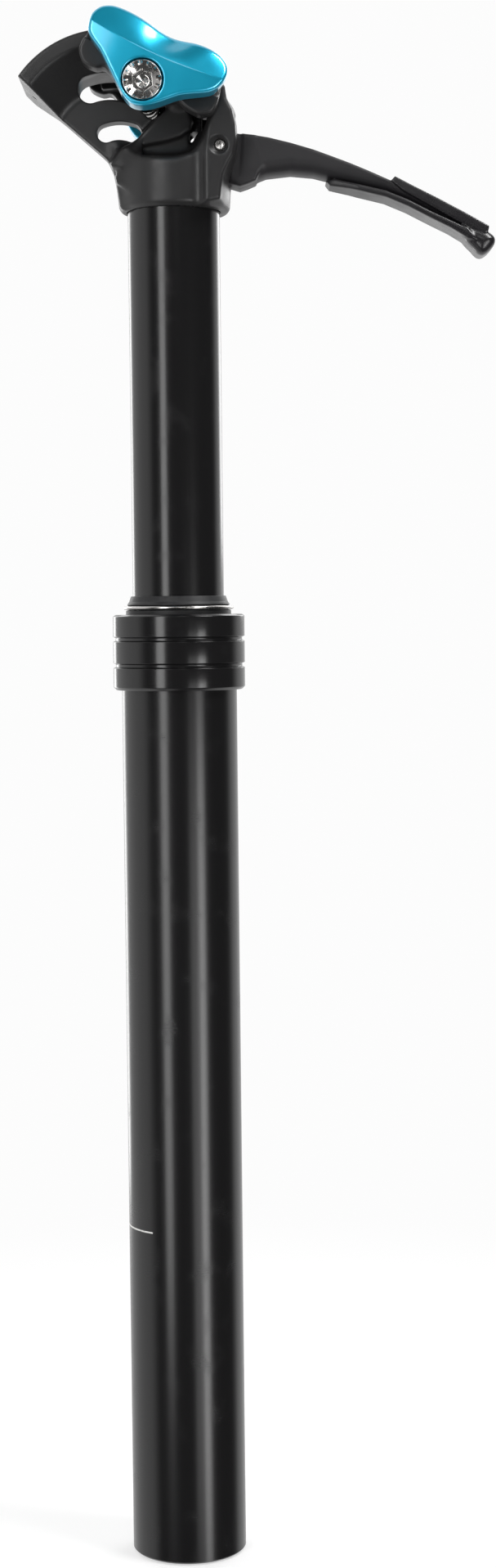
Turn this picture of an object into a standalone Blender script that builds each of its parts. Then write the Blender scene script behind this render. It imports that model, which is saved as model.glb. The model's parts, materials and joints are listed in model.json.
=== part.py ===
"""Telescopic seatpost with a release lever under the saddle clamp.

Metres, +Z up the post, +X to the front of the bicycle, -Y to its right side.
The origin is on the post's axis, at the bottom end of the outer tube.
Pieces that move are parented to an empty on their joint's axis.
"""

import math

import bmesh
import bpy
from mathutils import Matrix, Vector

MM = 0.001

# Fits
FIXED_GAP = 0.3 * MM        # between pieces that are fastened to each other
SLIDE_GAP = 0.15 * MM       # between pieces that slide or turn on each other

# Telescopic tubes
OUTER_RADIUS = 15.8 * MM
OUTER_WALL = 2.2 * MM
OUTER_LENGTH = 254.0 * MM
STANCHION_RADIUS = 12.5 * MM
STANCHION_WALL = 2.0 * MM
TRAVEL = 100.0 * MM
BARE_AT_BOTTOM = 3.8 * MM   # stanchion that still shows when the post is fully down

# Collar and wiper
COLLAR_WALL = 2.3 * MM
COLLAR_HEIGHT = 20.6 * MM
COLLAR_LAP = 13.5 * MM      # length of the collar that is screwed over the tube
COLLAR_GROOVES = (6.7 * MM, 13.9 * MM)
GROOVE_WIDTH = 1.4 * MM
GROOVE_DEPTH = 0.7 * MM
SEAL_LAP = 0.85 * MM        # how far the seal and the bushing's flange reach over the tube's end
SEAL_RISE = 5.0 * MM        # height of the seal above the collar
SEAL_RING_WIRE = 0.45 * MM

# Bushings and guide keys
UPPER_BUSHING_LENGTH = 42.0 * MM
LOWER_BUSHING_LENGTH = 6.0 * MM
KEY_COUNT = 3
KEY_LENGTH = 16.0 * MM
KEY_WIDTH = 3.4 * MM
KEY_DEPTH_IN_STANCHION = 0.9 * MM
KEY_DEPTH_IN_TUBE = 0.7 * MM
KEYWAY_START = 24.0 * MM

# Base plug and its fasteners
BASE_RECESS = 3.0 * MM
BASE_TOP = 20.0 * MM
BASE_WEB = 4.0 * MM
BASE_POCKET_DEPTH = 5.6 * MM
RING_THICKNESS = 1.0 * MM
RING_DEPTH_IN_TUBE = 0.5 * MM
ROD_BOLT_RADIUS = 2.5 * MM
ROD_BOLT_HEAD_RADIUS = 4.25 * MM
ROD_BOLT_HEAD_HEIGHT = 3.4 * MM
ROD_BOLT_REACH = 12.0 * MM
WASHER_THICKNESS = 0.8 * MM
BUMP_HEIGHT = 7.0 * MM
BOTTOM_SPARE = 10.0 * MM    # from the base plug to the stanchion when fully down

# Gas spring
ROD_RADIUS = 4.0 * MM
CARTRIDGE_GAP = 0.3 * MM    # between the cartridge and the stanchion
CARTRIDGE_WALL = 1.0 * MM
LINER_WALL = 0.8 * MM
BYPASS_GAP = 0.6 * MM       # ring-shaped channel between cartridge and liner
GLAND_LENGTH = 10.0 * MM
ROD_SEAL_LENGTH = 4.0 * MM
PISTON_LENGTH = 8.0 * MM
PISTON_RING_HEIGHT = 2.4 * MM
PISTON_RING_DEPTH = 1.3 * MM
PISTON_STUD_RADIUS = 2.5 * MM
PISTON_NUT_HEIGHT = 4.0 * MM
PISTON_NUT_RADIUS = 4.6 * MM
VALVE_BLOCK_LENGTH = 18.0 * MM
VALVE_NECK_RADIUS = 5.8 * MM
VALVE_WELL_DEPTH = 6.6 * MM
VALVE_STEM_RADIUS = 1.2 * MM
VALVE_TIP_RADIUS = 1.8 * MM
VALVE_FLANGE_RADIUS = 3.3 * MM
VALVE_FLANGE_HEIGHT = 0.8 * MM
VALVE_SPRING_WIRE = 0.35 * MM
VALVE_SPRING_RADIUS = 2.5 * MM
VALVE_SPRING_TURNS = 4
VALVE_SPRING_LENGTH = 4.6 * MM

# Head, measured from its bottom rim on the post's axis
SOCKET_WALL = 1.7 * MM
SOCKET_TOP = 14.1 * MM
SOCKET_DEPTH = 6.6 * MM
SHELF = 2.6 * MM
HEAD_HALF_WIDTH = 9.0 * MM
WEB_HALF_WIDTH = 3.0 * MM
BOSS_HALF_WIDTH = 7.2 * MM
ARC_CENTRE_X = -16.8 * MM
ARC_CENTRE_Z = 17.1 * MM
ARC_RADIUS = 29.6 * MM
DISH_RADIUS = 25.1 * MM
DISH_FLOOR_RADIUS = 19.8 * MM
REAR_EDGE_LOW = (-17.6 * MM, 14.0 * MM)
REAR_EDGE_HIGH = (-38.6 * MM, 32.4 * MM)
BOLT_ARC_RADIUS = 16.2 * MM
BOLT_ARC_ANGLE = 52.9       # degrees above +X, seen from the right side
SLOT_REAR_ANGLE = 110.0
SLOT_FRONT_ANGLE = 42.0
SLOT_CLEARANCE = 0.2 * MM
FORK_HALF_GAP = 6.4 * MM
POCKET_HALF_WIDTH = 4.2 * MM

# Lever
PIVOT_X = 12.9 * MM
PIVOT_Z = 15.9 * MM
PIVOT_RADIUS = 1.5 * MM
EAR_FOOT = (1.2 * MM, -5.2 * MM)    # lowest point of the fork's ears, from the pivot
ROOT_CLEARANCE = 0.7 * MM   # between the head and the root of the lever
LEVER_HALF_WIDTH = 6.0 * MM
NOSE_HALF_WIDTH = 3.6 * MM
NOSE_UNDERSIDE = 11.9 * MM
NOSE_LIFT = 0.25 * MM       # from the valve pin to the nose at rest
PADDLE_HALF_WIDTH = 8.0 * MM

# Saddle clamp, in a frame on the bolt's axis that is tilted with the rails
CLAMP_TILT = 24.5           # degrees, front end down
RAIL_RADIUS = 3.5 * MM
RAIL_FIT = 0.1 * MM
RAIL_HALF_SPACING = 22.0 * MM
RAIL_ABOVE_BOLT = 9.0 * MM
CRADLE_HALF_LENGTH = 21.0 * MM
CRADLE_TOP = 12.4 * MM
PLATE_HALF_LENGTH = 19.4 * MM
PLATE_THICKNESS = 8.0 * MM
PLATE_RIM = 3.2 * MM        # full-outline part of the plate's thickness
PARTING_GAP = 1.2 * MM
BOLT_RADIUS = 3.0 * MM
BOLT_HEAD_RADIUS = 5.25 * MM
BOLT_HEAD_HEIGHT = 4.5 * MM
BOLT_SOCKET_RADIUS = 2.9 * MM
BOLT_SOCKET_DEPTH = 3.0 * MM
NUT_RADIUS = 5.6 * MM
NUT_HEIGHT = 4.5 * MM

# Mesh fineness
ROUND_SIDES = 48
SMALL_SIDES = 24
ARC_STEPS = 8
SHARP_ANGLE = math.radians(32)

# Sizes that follow from the ones above
OUTER_BORE = OUTER_RADIUS - OUTER_WALL
STANCHION_BORE = STANCHION_RADIUS - STANCHION_WALL
COLLAR_BOTTOM = OUTER_LENGTH - COLLAR_LAP
COLLAR_TOP = COLLAR_BOTTOM + COLLAR_HEIGHT
COLLAR_BORE = OUTER_RADIUS + SLIDE_GAP
COLLAR_RADIUS = OUTER_RADIUS + COLLAR_WALL
SEAL_BORE = STANCHION_RADIUS + SLIDE_GAP
SEAL_RADIUS = OUTER_BORE + SEAL_LAP
SEAL_TOP = COLLAR_TOP + SEAL_RISE
HEAD_BOTTOM = SEAL_TOP + TRAVEL + BARE_AT_BOTTOM
STANCHION_BOTTOM = BASE_TOP + BOTTOM_SPARE + TRAVEL
STANCHION_TOP = HEAD_BOTTOM + SOCKET_DEPTH - FIXED_GAP
STANCHION_FOOT = LOWER_BUSHING_LENGTH + 2 * FIXED_GAP
BASE_FLOOR = BASE_RECESS + BASE_POCKET_DEPTH
SOCKET_RADIUS = STANCHION_RADIUS + SOCKET_WALL
FORK_BACK = PIVOT_X - 4.9 * MM
POCKET_FLOOR = SOCKET_DEPTH + SHELF
CARTRIDGE_RADIUS = STANCHION_BORE - CARTRIDGE_GAP
CARTRIDGE_BORE = CARTRIDGE_RADIUS - CARTRIDGE_WALL
CARTRIDGE_BOTTOM = STANCHION_BOTTOM + 1.5 * MM
CARTRIDGE_TOP = STANCHION_TOP - FIXED_GAP
LINER_RADIUS = CARTRIDGE_BORE - BYPASS_GAP
LINER_BORE = LINER_RADIUS - LINER_WALL
GLAND_BOTTOM = CARTRIDGE_BOTTOM + 1.5 * MM
SEAL_PACK_TOP = GLAND_BOTTOM + GLAND_LENGTH + FIXED_GAP + ROD_SEAL_LENGTH
PISTON_BOTTOM = SEAL_PACK_TOP + 4.0 * MM
ROD_BOTTOM = BASE_FLOOR + BASE_WEB + FIXED_GAP
VALVE_SHOULDER = CARTRIDGE_TOP - 1.0 * MM
VALVE_BLOCK_BOTTOM = VALVE_SHOULDER - VALVE_BLOCK_LENGTH
VALVE_NECK_TOP = HEAD_BOTTOM + POCKET_FLOOR - FIXED_GAP
VALVE_PIN_TOP = HEAD_BOTTOM + NOSE_UNDERSIDE - NOSE_LIFT
CRADLE_INNER = HEAD_HALF_WIDTH + FIXED_GAP
CRADLE_OUTER = RAIL_HALF_SPACING - PARTING_GAP / 2
PLATE_INNER = RAIL_HALF_SPACING + PARTING_GAP / 2
PLATE_OUTER = PLATE_INNER + PLATE_THICKNESS
BOLT_HOLE_RADIUS = BOLT_RADIUS + SLOT_CLEARANCE
COUNTERBORE_FLOOR = PLATE_OUTER - BOLT_HEAD_HEIGHT - WASHER_THICKNESS - 2 * FIXED_GAP
BOLT_HEAD_BASE = COUNTERBORE_FLOOR + WASHER_THICKNESS + 2 * FIXED_GAP

# Finishes: base colour, roughness, metallic
BLACK_ANODISED = ((0.012, 0.012, 0.014), 0.32, 0.6)
BLACK_SATIN = ((0.015, 0.015, 0.016), 0.5, 0.3)
BLACK_RUBBER = ((0.02, 0.02, 0.02), 0.75, 0.0)
BLUE_ANODISED = ((0.0, 0.33, 0.6), 0.25, 0.9)
BRIGHT_STEEL = ((0.62, 0.6, 0.57), 0.22, 1.0)
HARD_CHROME = ((0.7, 0.7, 0.72), 0.12, 1.0)
BRASS = ((0.72, 0.52, 0.2), 0.3, 1.0)
PLAIN_ALUMINIUM = ((0.72, 0.73, 0.75), 0.35, 1.0)
BEARING_PLASTIC = ((0.75, 0.73, 0.66), 0.45, 0.0)

ALONG_Z = Matrix.Identity(4)
ALONG_Y = Matrix.Rotation(-math.pi / 2, 4, "X")


# ---- Helpers ---------------------------------------------------------------

def clear_scene():
    """Remove every object, so that the script starts from nothing."""
    for old in list(bpy.data.objects):
        bpy.data.objects.remove(old, do_unlink=True)


def axis_empty(name, location, parent=None, tilt=0.0):
    """An empty on a joint's axis; tilt is a turn about +Y in degrees."""
    empty = bpy.data.objects.new(name, None)
    bpy.context.collection.objects.link(empty)
    empty.empty_display_size = 10 * MM
    empty.location = location
    empty.rotation_euler.y = math.radians(tilt)
    empty.parent = parent
    return empty


def make_material(name, finish):
    """A Principled material with a finish's colour, roughness and metallic value."""
    colour, roughness, metallic = finish
    material = bpy.data.materials.new(name)
    material.use_nodes = True
    shader = material.node_tree.nodes["Principled BSDF"]
    shader.inputs["Base Color"].default_value = (*colour, 1.0)
    shader.inputs["Roughness"].default_value = roughness
    shader.inputs["Metallic"].default_value = metallic
    material.diffuse_color = (*colour, 1.0)
    return material


def add_object(name, bm, finish, parent):
    """Turn a bmesh into a named object with its own material; no finish makes a tool."""
    bmesh.ops.recalc_face_normals(bm, faces=bm.faces)
    for face in bm.faces:
        face.smooth = True
    for edge in bm.edges:
        edge.smooth = edge.calc_face_angle(math.pi) < SHARP_ANGLE
    mesh = bpy.data.meshes.new(name)
    bm.to_mesh(mesh)
    bm.free()
    item = bpy.data.objects.new(name, mesh)
    bpy.context.collection.objects.link(item)
    item.parent = parent
    if finish is None:
        item.hide_render = True
        item.display_type = "WIRE"
    else:
        mesh.materials.append(make_material(name, finish))
    return item


def bridge(bm, ring, next_ring):
    """Faces between two rings; a ring of one vertex is a point on the axis."""
    count = max(len(ring), len(next_ring))
    for i in range(count):
        j = (i + 1) % count
        if len(ring) == 1:
            bm.faces.new((ring[0], next_ring[j], next_ring[i]))
        elif len(next_ring) == 1:
            bm.faces.new((ring[i], ring[j], next_ring[0]))
        else:
            bm.faces.new((ring[i], ring[j], next_ring[j], next_ring[i]))


def lathe(name, profile, finish=None, parent=None, sides=ROUND_SIDES, axis=ALONG_Z, phase=0.0):
    """A turned piece. The profile is (radius, height) pairs; it closes on itself,
    or on the axis where it starts and ends at radius 0."""
    bm = bmesh.new()
    rings = []
    for radius, height in profile:
        if radius == 0.0:
            rings.append([bm.verts.new(axis @ Vector((0, 0, height)))])
            continue
        ring = []
        for i in range(sides):
            angle = phase + 2 * math.pi * i / sides
            point = Vector((radius * math.cos(angle), radius * math.sin(angle), height))
            ring.append(bm.verts.new(axis @ point))
        rings.append(ring)
    for ring, next_ring in zip(rings, rings[1:]):
        bridge(bm, ring, next_ring)
    if profile[0][0] > 0.0:
        bridge(bm, rings[-1], rings[0])
    return add_object(name, bm, finish, parent)


def tube_profile(inner, outer, bottom, top, chamfer=0.0):
    """Profile of a plain ring with a chamfer on its outer edges."""
    if chamfer == 0.0:
        return [(inner, bottom), (outer, bottom), (outer, top), (inner, top)]
    return [(inner, bottom), (outer - chamfer, bottom), (outer, bottom + chamfer),
            (outer, top - chamfer), (outer - chamfer, top), (inner, top)]


def rod_profile(radius, bottom, top, chamfer=0.0):
    """Profile of a plain solid rod with chamfered ends."""
    if chamfer == 0.0:
        return [(0.0, bottom), (radius, bottom), (radius, top), (0.0, top)]
    return [(0.0, bottom), (radius - chamfer, bottom), (radius, bottom + chamfer),
            (radius, top - chamfer), (radius - chamfer, top), (0.0, top)]


def torus_profile(radius, height, wire, steps=8):
    """Profile of a ring of round wire."""
    points = []
    for i in range(steps):
        angle = 2 * math.pi * i / steps
        points.append((radius + wire * math.cos(angle), height + wire * math.sin(angle)))
    return points


def loft(name, rings, finish=None, parent=None, twisted=True):
    """A solid through rings with the same number of points, capped at both ends.
    Twisted walls are split into triangles, so that Boolean cuts stay clean."""
    bm = bmesh.new()
    loops = [[bm.verts.new(point) for point in ring] for ring in rings]
    for ring, next_ring in zip(loops, loops[1:]):
        bridge(bm, ring, next_ring)
    if twisted:
        bmesh.ops.triangulate(bm, faces=list(bm.faces))
    bm.faces.new(loops[0])
    bm.faces.new(reversed(loops[-1]))
    return add_object(name, bm, finish, parent)


def side_ring(outline, y):
    """An outline of (x, z) points, placed at a distance y to the side."""
    return [Vector((x, y, z)) for x, z in outline]


def prism(name, outline, y_from, y_to, finish=None, parent=None):
    """An outline of (x, z) points, extruded along Y."""
    rings = [side_ring(outline, y_from), side_ring(outline, y_to)]
    return loft(name, rings, finish, parent, twisted=False)


def box(name, low, high, finish=None, parent=None):
    """A plain block between two corners."""
    outline = [(low[0], low[2]), (high[0], low[2]), (high[0], high[2]), (low[0], high[2])]
    return prism(name, outline, low[1], high[1], finish, parent)


def arc(centre, radius, start, end, steps=ARC_STEPS):
    """Points along an arc, angles in degrees."""
    points = []
    for i in range(steps + 1):
        angle = math.radians(start + (end - start) * i / steps)
        points.append((centre[0] + radius * math.cos(angle), centre[1] + radius * math.sin(angle)))
    return points


def curved_slot(centre, radius, start, end, half_width):
    """Outline of a slot that follows an arc from start to end degrees (start < end)."""
    outline = arc(centre, radius + half_width, start, end, ARC_STEPS)
    last = arc(centre, radius, end, end, 1)[0]
    outline += arc(last, half_width, end, end + 180, 6)[1:]
    outline += arc(centre, radius - half_width, end, start, ARC_STEPS)[1:]
    first = arc(centre, radius, start, start, 1)[0]
    outline += arc(first, half_width, start + 180, start + 360, 6)[1:-1]
    return outline


def hex_nut(name, bore, radius, bottom, top, finish, parent=None, axis=ALONG_Z):
    """A plain six-sided nut with a round hole."""
    nut = lathe(name, rod_profile(radius, bottom, top), finish, parent, 6, axis)
    hole = lathe(f"{name}_hole_tool", rod_profile(bore, bottom - 1 * MM, top + 1 * MM),
                 parent=parent, sides=SMALL_SIDES, axis=axis)
    cut(nut, hole)
    return nut


def combine(target, tool, operation):
    """Add a Boolean modifier; the tool itself is only drawn as a wire."""
    modifier = target.modifiers.new(tool.name, "BOOLEAN")
    modifier.operation = operation
    modifier.object = tool
    modifier.solver = "EXACT"


def combine_all(target, tools, operation):
    """One Boolean with several tools, which are kept in a collection of their own."""
    group = bpy.data.collections.new(f"{target.name}_{operation.lower()}")
    bpy.context.scene.collection.children.link(group)
    for tool in tools:
        group.objects.link(tool)
    modifier = target.modifiers.new(group.name, "BOOLEAN")
    modifier.operation = operation
    modifier.operand_type = "COLLECTION"
    modifier.collection = group
    modifier.solver = "EXACT"


def cut(target, tool):
    combine(target, tool, "DIFFERENCE")


def fuse(target, tool):
    combine(target, tool, "UNION")


def coil(name, radius, wire, bottom, length, turns, finish, parent):
    """A compression spring with flat-lying ends, as one closed body."""
    steps_per_turn = 12
    wire_sides = 6
    steps = turns * steps_per_turn
    rings = []
    for i in range(steps + 1):
        angle = 2 * math.pi * i / steps_per_turn
        height = bottom + wire + (length - 2 * wire) * i / steps
        outward = Vector((math.cos(angle), math.sin(angle), 0))
        centre = outward * radius + Vector((0, 0, height))
        ring = []
        for j in range(wire_sides):
            around = 2 * math.pi * j / wire_sides
            ring.append(centre + outward * wire * math.cos(around)
                        + Vector((0, 0, wire * math.sin(around))))
        rings.append(ring)
    return loft(name, rings, finish, parent)


# ---- Outer tube and what is fixed to it --------------------------------------

def build_outer_tube():
    """Outer tube with three inner keyways and a groove for the base ring."""
    tube = lathe("outer_tube", tube_profile(OUTER_BORE, OUTER_RADIUS, 0.0, OUTER_LENGTH, 0.5 * MM),
                 BLACK_ANODISED)
    keyway_top = OUTER_LENGTH - UPPER_BUSHING_LENGTH - 6 * MM
    half = KEY_WIDTH / 2 + SLIDE_GAP
    depth = OUTER_BORE + KEY_DEPTH_IN_TUBE + SLIDE_GAP
    for i in range(KEY_COUNT):
        keyway = box(f"keyway_tool_{i + 1}", (OUTER_BORE - 2 * MM, -half, KEYWAY_START),
                     (depth, half, keyway_top))
        keyway.rotation_euler.z = key_angle(i)
        cut(tube, keyway)
    ring_low = BASE_RECESS - RING_THICKNESS - 2 * FIXED_GAP
    groove = lathe("ring_groove_tool", tube_profile(
        OUTER_BORE - 1 * MM, OUTER_BORE + RING_DEPTH_IN_TUBE + FIXED_GAP, ring_low,
        BASE_RECESS))
    cut(tube, groove)


def build_collar():
    """Screwed collar with two turned grooves."""
    inner_lip = SEAL_RADIUS + FIXED_GAP
    step = OUTER_LENGTH + FIXED_GAP
    profile = [(COLLAR_BORE, COLLAR_BOTTOM),
               (COLLAR_RADIUS - 0.8 * MM, COLLAR_BOTTOM),
               (COLLAR_RADIUS, COLLAR_BOTTOM + 0.8 * MM)]
    for height in COLLAR_GROOVES:
        low = COLLAR_BOTTOM + height - GROOVE_WIDTH / 2
        profile += [(COLLAR_RADIUS, low),
                    (COLLAR_RADIUS - GROOVE_DEPTH, low + GROOVE_WIDTH / 4),
                    (COLLAR_RADIUS - GROOVE_DEPTH, low + 3 * GROOVE_WIDTH / 4),
                    (COLLAR_RADIUS, low + GROOVE_WIDTH)]
    profile += [(COLLAR_RADIUS, COLLAR_TOP - 1.1 * MM),
                (COLLAR_RADIUS - 0.35 * MM, COLLAR_TOP - 0.35 * MM),
                (COLLAR_RADIUS - 1.1 * MM, COLLAR_TOP),
                (inner_lip, COLLAR_TOP),
                (inner_lip, step),
                (COLLAR_BORE, step)]
    ring_height = COLLAR_BOTTOM + 3 * MM
    profile += [(COLLAR_BORE, ring_height + 0.8 * MM),
                (COLLAR_BORE + 0.9 * MM, ring_height + 0.8 * MM),
                (COLLAR_BORE + 0.9 * MM, ring_height - 0.8 * MM),
                (COLLAR_BORE, ring_height - 0.8 * MM)]
    lathe("collar", profile, BLACK_ANODISED)
    ring_wire = 0.36 * MM
    lathe("collar_o_ring", torus_profile(COLLAR_BORE + 0.44 * MM, ring_height, ring_wire),
          BLACK_RUBBER, sides=ROUND_SIDES)


def build_wiper():
    """Rubber wiper seal on the collar, and the ring of wire that squeezes it."""
    bottom = OUTER_LENGTH + 2 * FIXED_GAP + 2.0 * MM
    ring_height = COLLAR_TOP + 1.8 * MM
    groove_radius = SEAL_RADIUS - 0.75 * MM
    profile = [(SEAL_BORE, bottom),
               (SEAL_RADIUS, bottom),
               (SEAL_RADIUS, ring_height - 0.7 * MM),
               (groove_radius, ring_height - 0.55 * MM),
               (groove_radius, ring_height + 0.55 * MM),
               (SEAL_RADIUS - 0.2 * MM, ring_height + 0.7 * MM),
               (SEAL_BORE + 0.35 * MM, SEAL_TOP),
               (SEAL_BORE, SEAL_TOP)]
    lathe("wiper_seal", profile, BLACK_RUBBER)
    lathe("wiper_spring_ring", torus_profile(SEAL_RADIUS - 0.22 * MM, ring_height, SEAL_RING_WIRE),
          BRIGHT_STEEL)


def build_upper_bushing():
    """Flanged bushing that guides the stanchion at the top of the outer tube."""
    bore = STANCHION_RADIUS + SLIDE_GAP
    flange_low = OUTER_LENGTH + FIXED_GAP
    flange_top = flange_low + 2.0 * MM
    flange_radius = SEAL_RADIUS
    profile = [(bore, OUTER_LENGTH - UPPER_BUSHING_LENGTH),
               (OUTER_BORE - FIXED_GAP, OUTER_LENGTH - UPPER_BUSHING_LENGTH),
               (OUTER_BORE - FIXED_GAP, flange_low),
               (flange_radius, flange_low),
               (flange_radius, flange_top),
               (bore, flange_top)]
    lathe("upper_bushing", profile, BEARING_PLASTIC)


def build_base():
    """Base plug, its retaining ring, and the bolt that holds the gas rod."""
    plug_radius = OUTER_BORE - FIXED_GAP
    bolt_hole = ROD_BOLT_RADIUS + FIXED_GAP
    pocket_radius = ROD_BOLT_HEAD_RADIUS + 2.5 * MM
    seat_radius = ROD_RADIUS + FIXED_GAP
    profile = [(pocket_radius, BASE_RECESS),
               (plug_radius, BASE_RECESS),
               (plug_radius, BASE_TOP),
               (seat_radius, BASE_TOP),
               (seat_radius, BASE_FLOOR + BASE_WEB),
               (bolt_hole, BASE_FLOOR + BASE_WEB),
               (bolt_hole, BASE_FLOOR),
               (pocket_radius, BASE_FLOOR)]
    lathe("base_plug", profile, PLAIN_ALUMINIUM)

    ring_outer = OUTER_BORE + RING_DEPTH_IN_TUBE
    ring_top = BASE_RECESS - FIXED_GAP
    ring = lathe("base_retaining_ring", tube_profile(
        plug_radius - 2.4 * MM, ring_outer, ring_top - RING_THICKNESS, ring_top), BRIGHT_STEEL)
    ring_slit = box("ring_slit_tool", (0.0, -3 * MM, 0.0), (2 * OUTER_RADIUS, 3 * MM, BASE_TOP))
    cut(ring, ring_slit)

    washer_top = BASE_FLOOR - FIXED_GAP
    washer_low = washer_top - WASHER_THICKNESS
    lathe("rod_washer", tube_profile(bolt_hole, ROD_BOLT_HEAD_RADIUS + 1.2 * MM,
                                     washer_low, washer_top),
          BRIGHT_STEEL, sides=SMALL_SIDES)
    head_top = washer_low - FIXED_GAP
    bolt = lathe("rod_bolt", [
        (0.0, head_top - ROD_BOLT_HEAD_HEIGHT),
        (ROD_BOLT_HEAD_RADIUS, head_top - ROD_BOLT_HEAD_HEIGHT),
        (ROD_BOLT_HEAD_RADIUS, head_top),
        (ROD_BOLT_RADIUS, head_top),
        (ROD_BOLT_RADIUS, ROD_BOTTOM + ROD_BOLT_REACH),
        (0.0, ROD_BOTTOM + ROD_BOLT_REACH)], BRIGHT_STEEL, sides=SMALL_SIDES)
    socket = lathe("rod_bolt_socket_tool", rod_profile(2.3 * MM, 0.0, head_top - 1.2 * MM), sides=6)
    cut(bolt, socket)

    bump_low = BASE_TOP + FIXED_GAP
    bump_bore = ROD_RADIUS + FIXED_GAP
    lathe("bump_stop", [
        (bump_bore, bump_low),
        (bump_bore + 5.0 * MM, bump_low),
        (bump_bore + 4.2 * MM, bump_low + BUMP_HEIGHT / 2),
        (bump_bore + 3.0 * MM, bump_low + BUMP_HEIGHT),
        (bump_bore, bump_low + BUMP_HEIGHT)], BLACK_RUBBER, sides=SMALL_SIDES)


def build_rod_and_piston():
    """Rod that stands on the base plug, with the piston on its top end."""
    stud_radius = PISTON_STUD_RADIUS
    nut_bottom = PISTON_BOTTOM + PISTON_LENGTH + FIXED_GAP
    stud_top = nut_bottom + PISTON_NUT_HEIGHT + 1 * MM
    bolt_bore = ROD_BOLT_RADIUS + SLIDE_GAP
    bolt_bore_top = ROD_BOTTOM + ROD_BOLT_REACH + 2 * MM
    lathe("gas_rod", [
        (0.0, bolt_bore_top),
        (bolt_bore, bolt_bore_top),
        (bolt_bore, ROD_BOTTOM),
        (ROD_RADIUS, ROD_BOTTOM),
        (ROD_RADIUS, PISTON_BOTTOM - FIXED_GAP),
        (stud_radius, PISTON_BOTTOM - FIXED_GAP),
        (stud_radius, stud_top),
        (0.0, stud_top)], HARD_CHROME, sides=SMALL_SIDES)

    piston_bore = stud_radius + SLIDE_GAP
    piston_radius = LINER_BORE - SLIDE_GAP
    groove_half = PISTON_RING_HEIGHT / 2 + SLIDE_GAP
    middle = PISTON_BOTTOM + PISTON_LENGTH / 2
    groove_floor = piston_radius - PISTON_RING_DEPTH
    lathe("piston", [
        (piston_bore, PISTON_BOTTOM),
        (piston_radius, PISTON_BOTTOM),
        (piston_radius, middle - groove_half),
        (groove_floor, middle - groove_half),
        (groove_floor, middle + groove_half),
        (piston_radius, middle + groove_half),
        (piston_radius, PISTON_BOTTOM + PISTON_LENGTH),
        (piston_bore, PISTON_BOTTOM + PISTON_LENGTH)], PLAIN_ALUMINIUM, sides=SMALL_SIDES)
    lathe("piston_ring", tube_profile(
        groove_floor + SLIDE_GAP, piston_radius, middle - PISTON_RING_HEIGHT / 2,
        middle + PISTON_RING_HEIGHT / 2), BEARING_PLASTIC, sides=SMALL_SIDES)
    hex_nut("piston_nut", piston_bore, PISTON_NUT_RADIUS, nut_bottom,
            nut_bottom + PISTON_NUT_HEIGHT, BRIGHT_STEEL)


# ---- Stanchion and what slides with it ----------------------------------------

def key_angle(index):
    """Angle of one guide key about the post's axis, in radians."""
    return math.pi / 2 + 2 * math.pi * index / KEY_COUNT


def build_stanchion(slider):
    """Inner tube with a stepped foot for the bushing and slots for the keys."""
    foot_radius = STANCHION_RADIUS - 0.5 * MM
    step = STANCHION_BOTTOM + STANCHION_FOOT
    stanchion = lathe("stanchion", [
        (STANCHION_BORE, STANCHION_BOTTOM - HEAD_BOTTOM),
        (foot_radius, STANCHION_BOTTOM - HEAD_BOTTOM),
        (foot_radius, step - HEAD_BOTTOM),
        (STANCHION_RADIUS, step - HEAD_BOTTOM),
        (STANCHION_RADIUS, STANCHION_TOP - HEAD_BOTTOM),
        (STANCHION_BORE, STANCHION_TOP - HEAD_BOTTOM)], BLACK_ANODISED, slider)
    key_bottom = step - HEAD_BOTTOM + 2 * MM
    key_inner = STANCHION_RADIUS - KEY_DEPTH_IN_STANCHION
    key_outer = OUTER_BORE + KEY_DEPTH_IN_TUBE
    half = KEY_WIDTH / 2
    for i in range(KEY_COUNT):
        slot = box(f"key_slot_tool_{i + 1}",
                   (key_inner - FIXED_GAP, -half - FIXED_GAP, key_bottom - FIXED_GAP),
                   (key_outer, half + FIXED_GAP, key_bottom + KEY_LENGTH + FIXED_GAP), parent=slider)
        slot.rotation_euler.z = key_angle(i)
        cut(stanchion, slot)
        key = box(f"guide_key_{i + 1}", (key_inner, -half, key_bottom),
                  (key_outer, half, key_bottom + KEY_LENGTH), BRASS, slider)
        key.rotation_euler.z = key_angle(i)

    bushing_bottom = STANCHION_BOTTOM - HEAD_BOTTOM + FIXED_GAP
    lathe("lower_bushing", tube_profile(
        foot_radius + SLIDE_GAP, OUTER_BORE - SLIDE_GAP, bushing_bottom,
        bushing_bottom + LOWER_BUSHING_LENGTH), BEARING_PLASTIC, slider)


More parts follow.
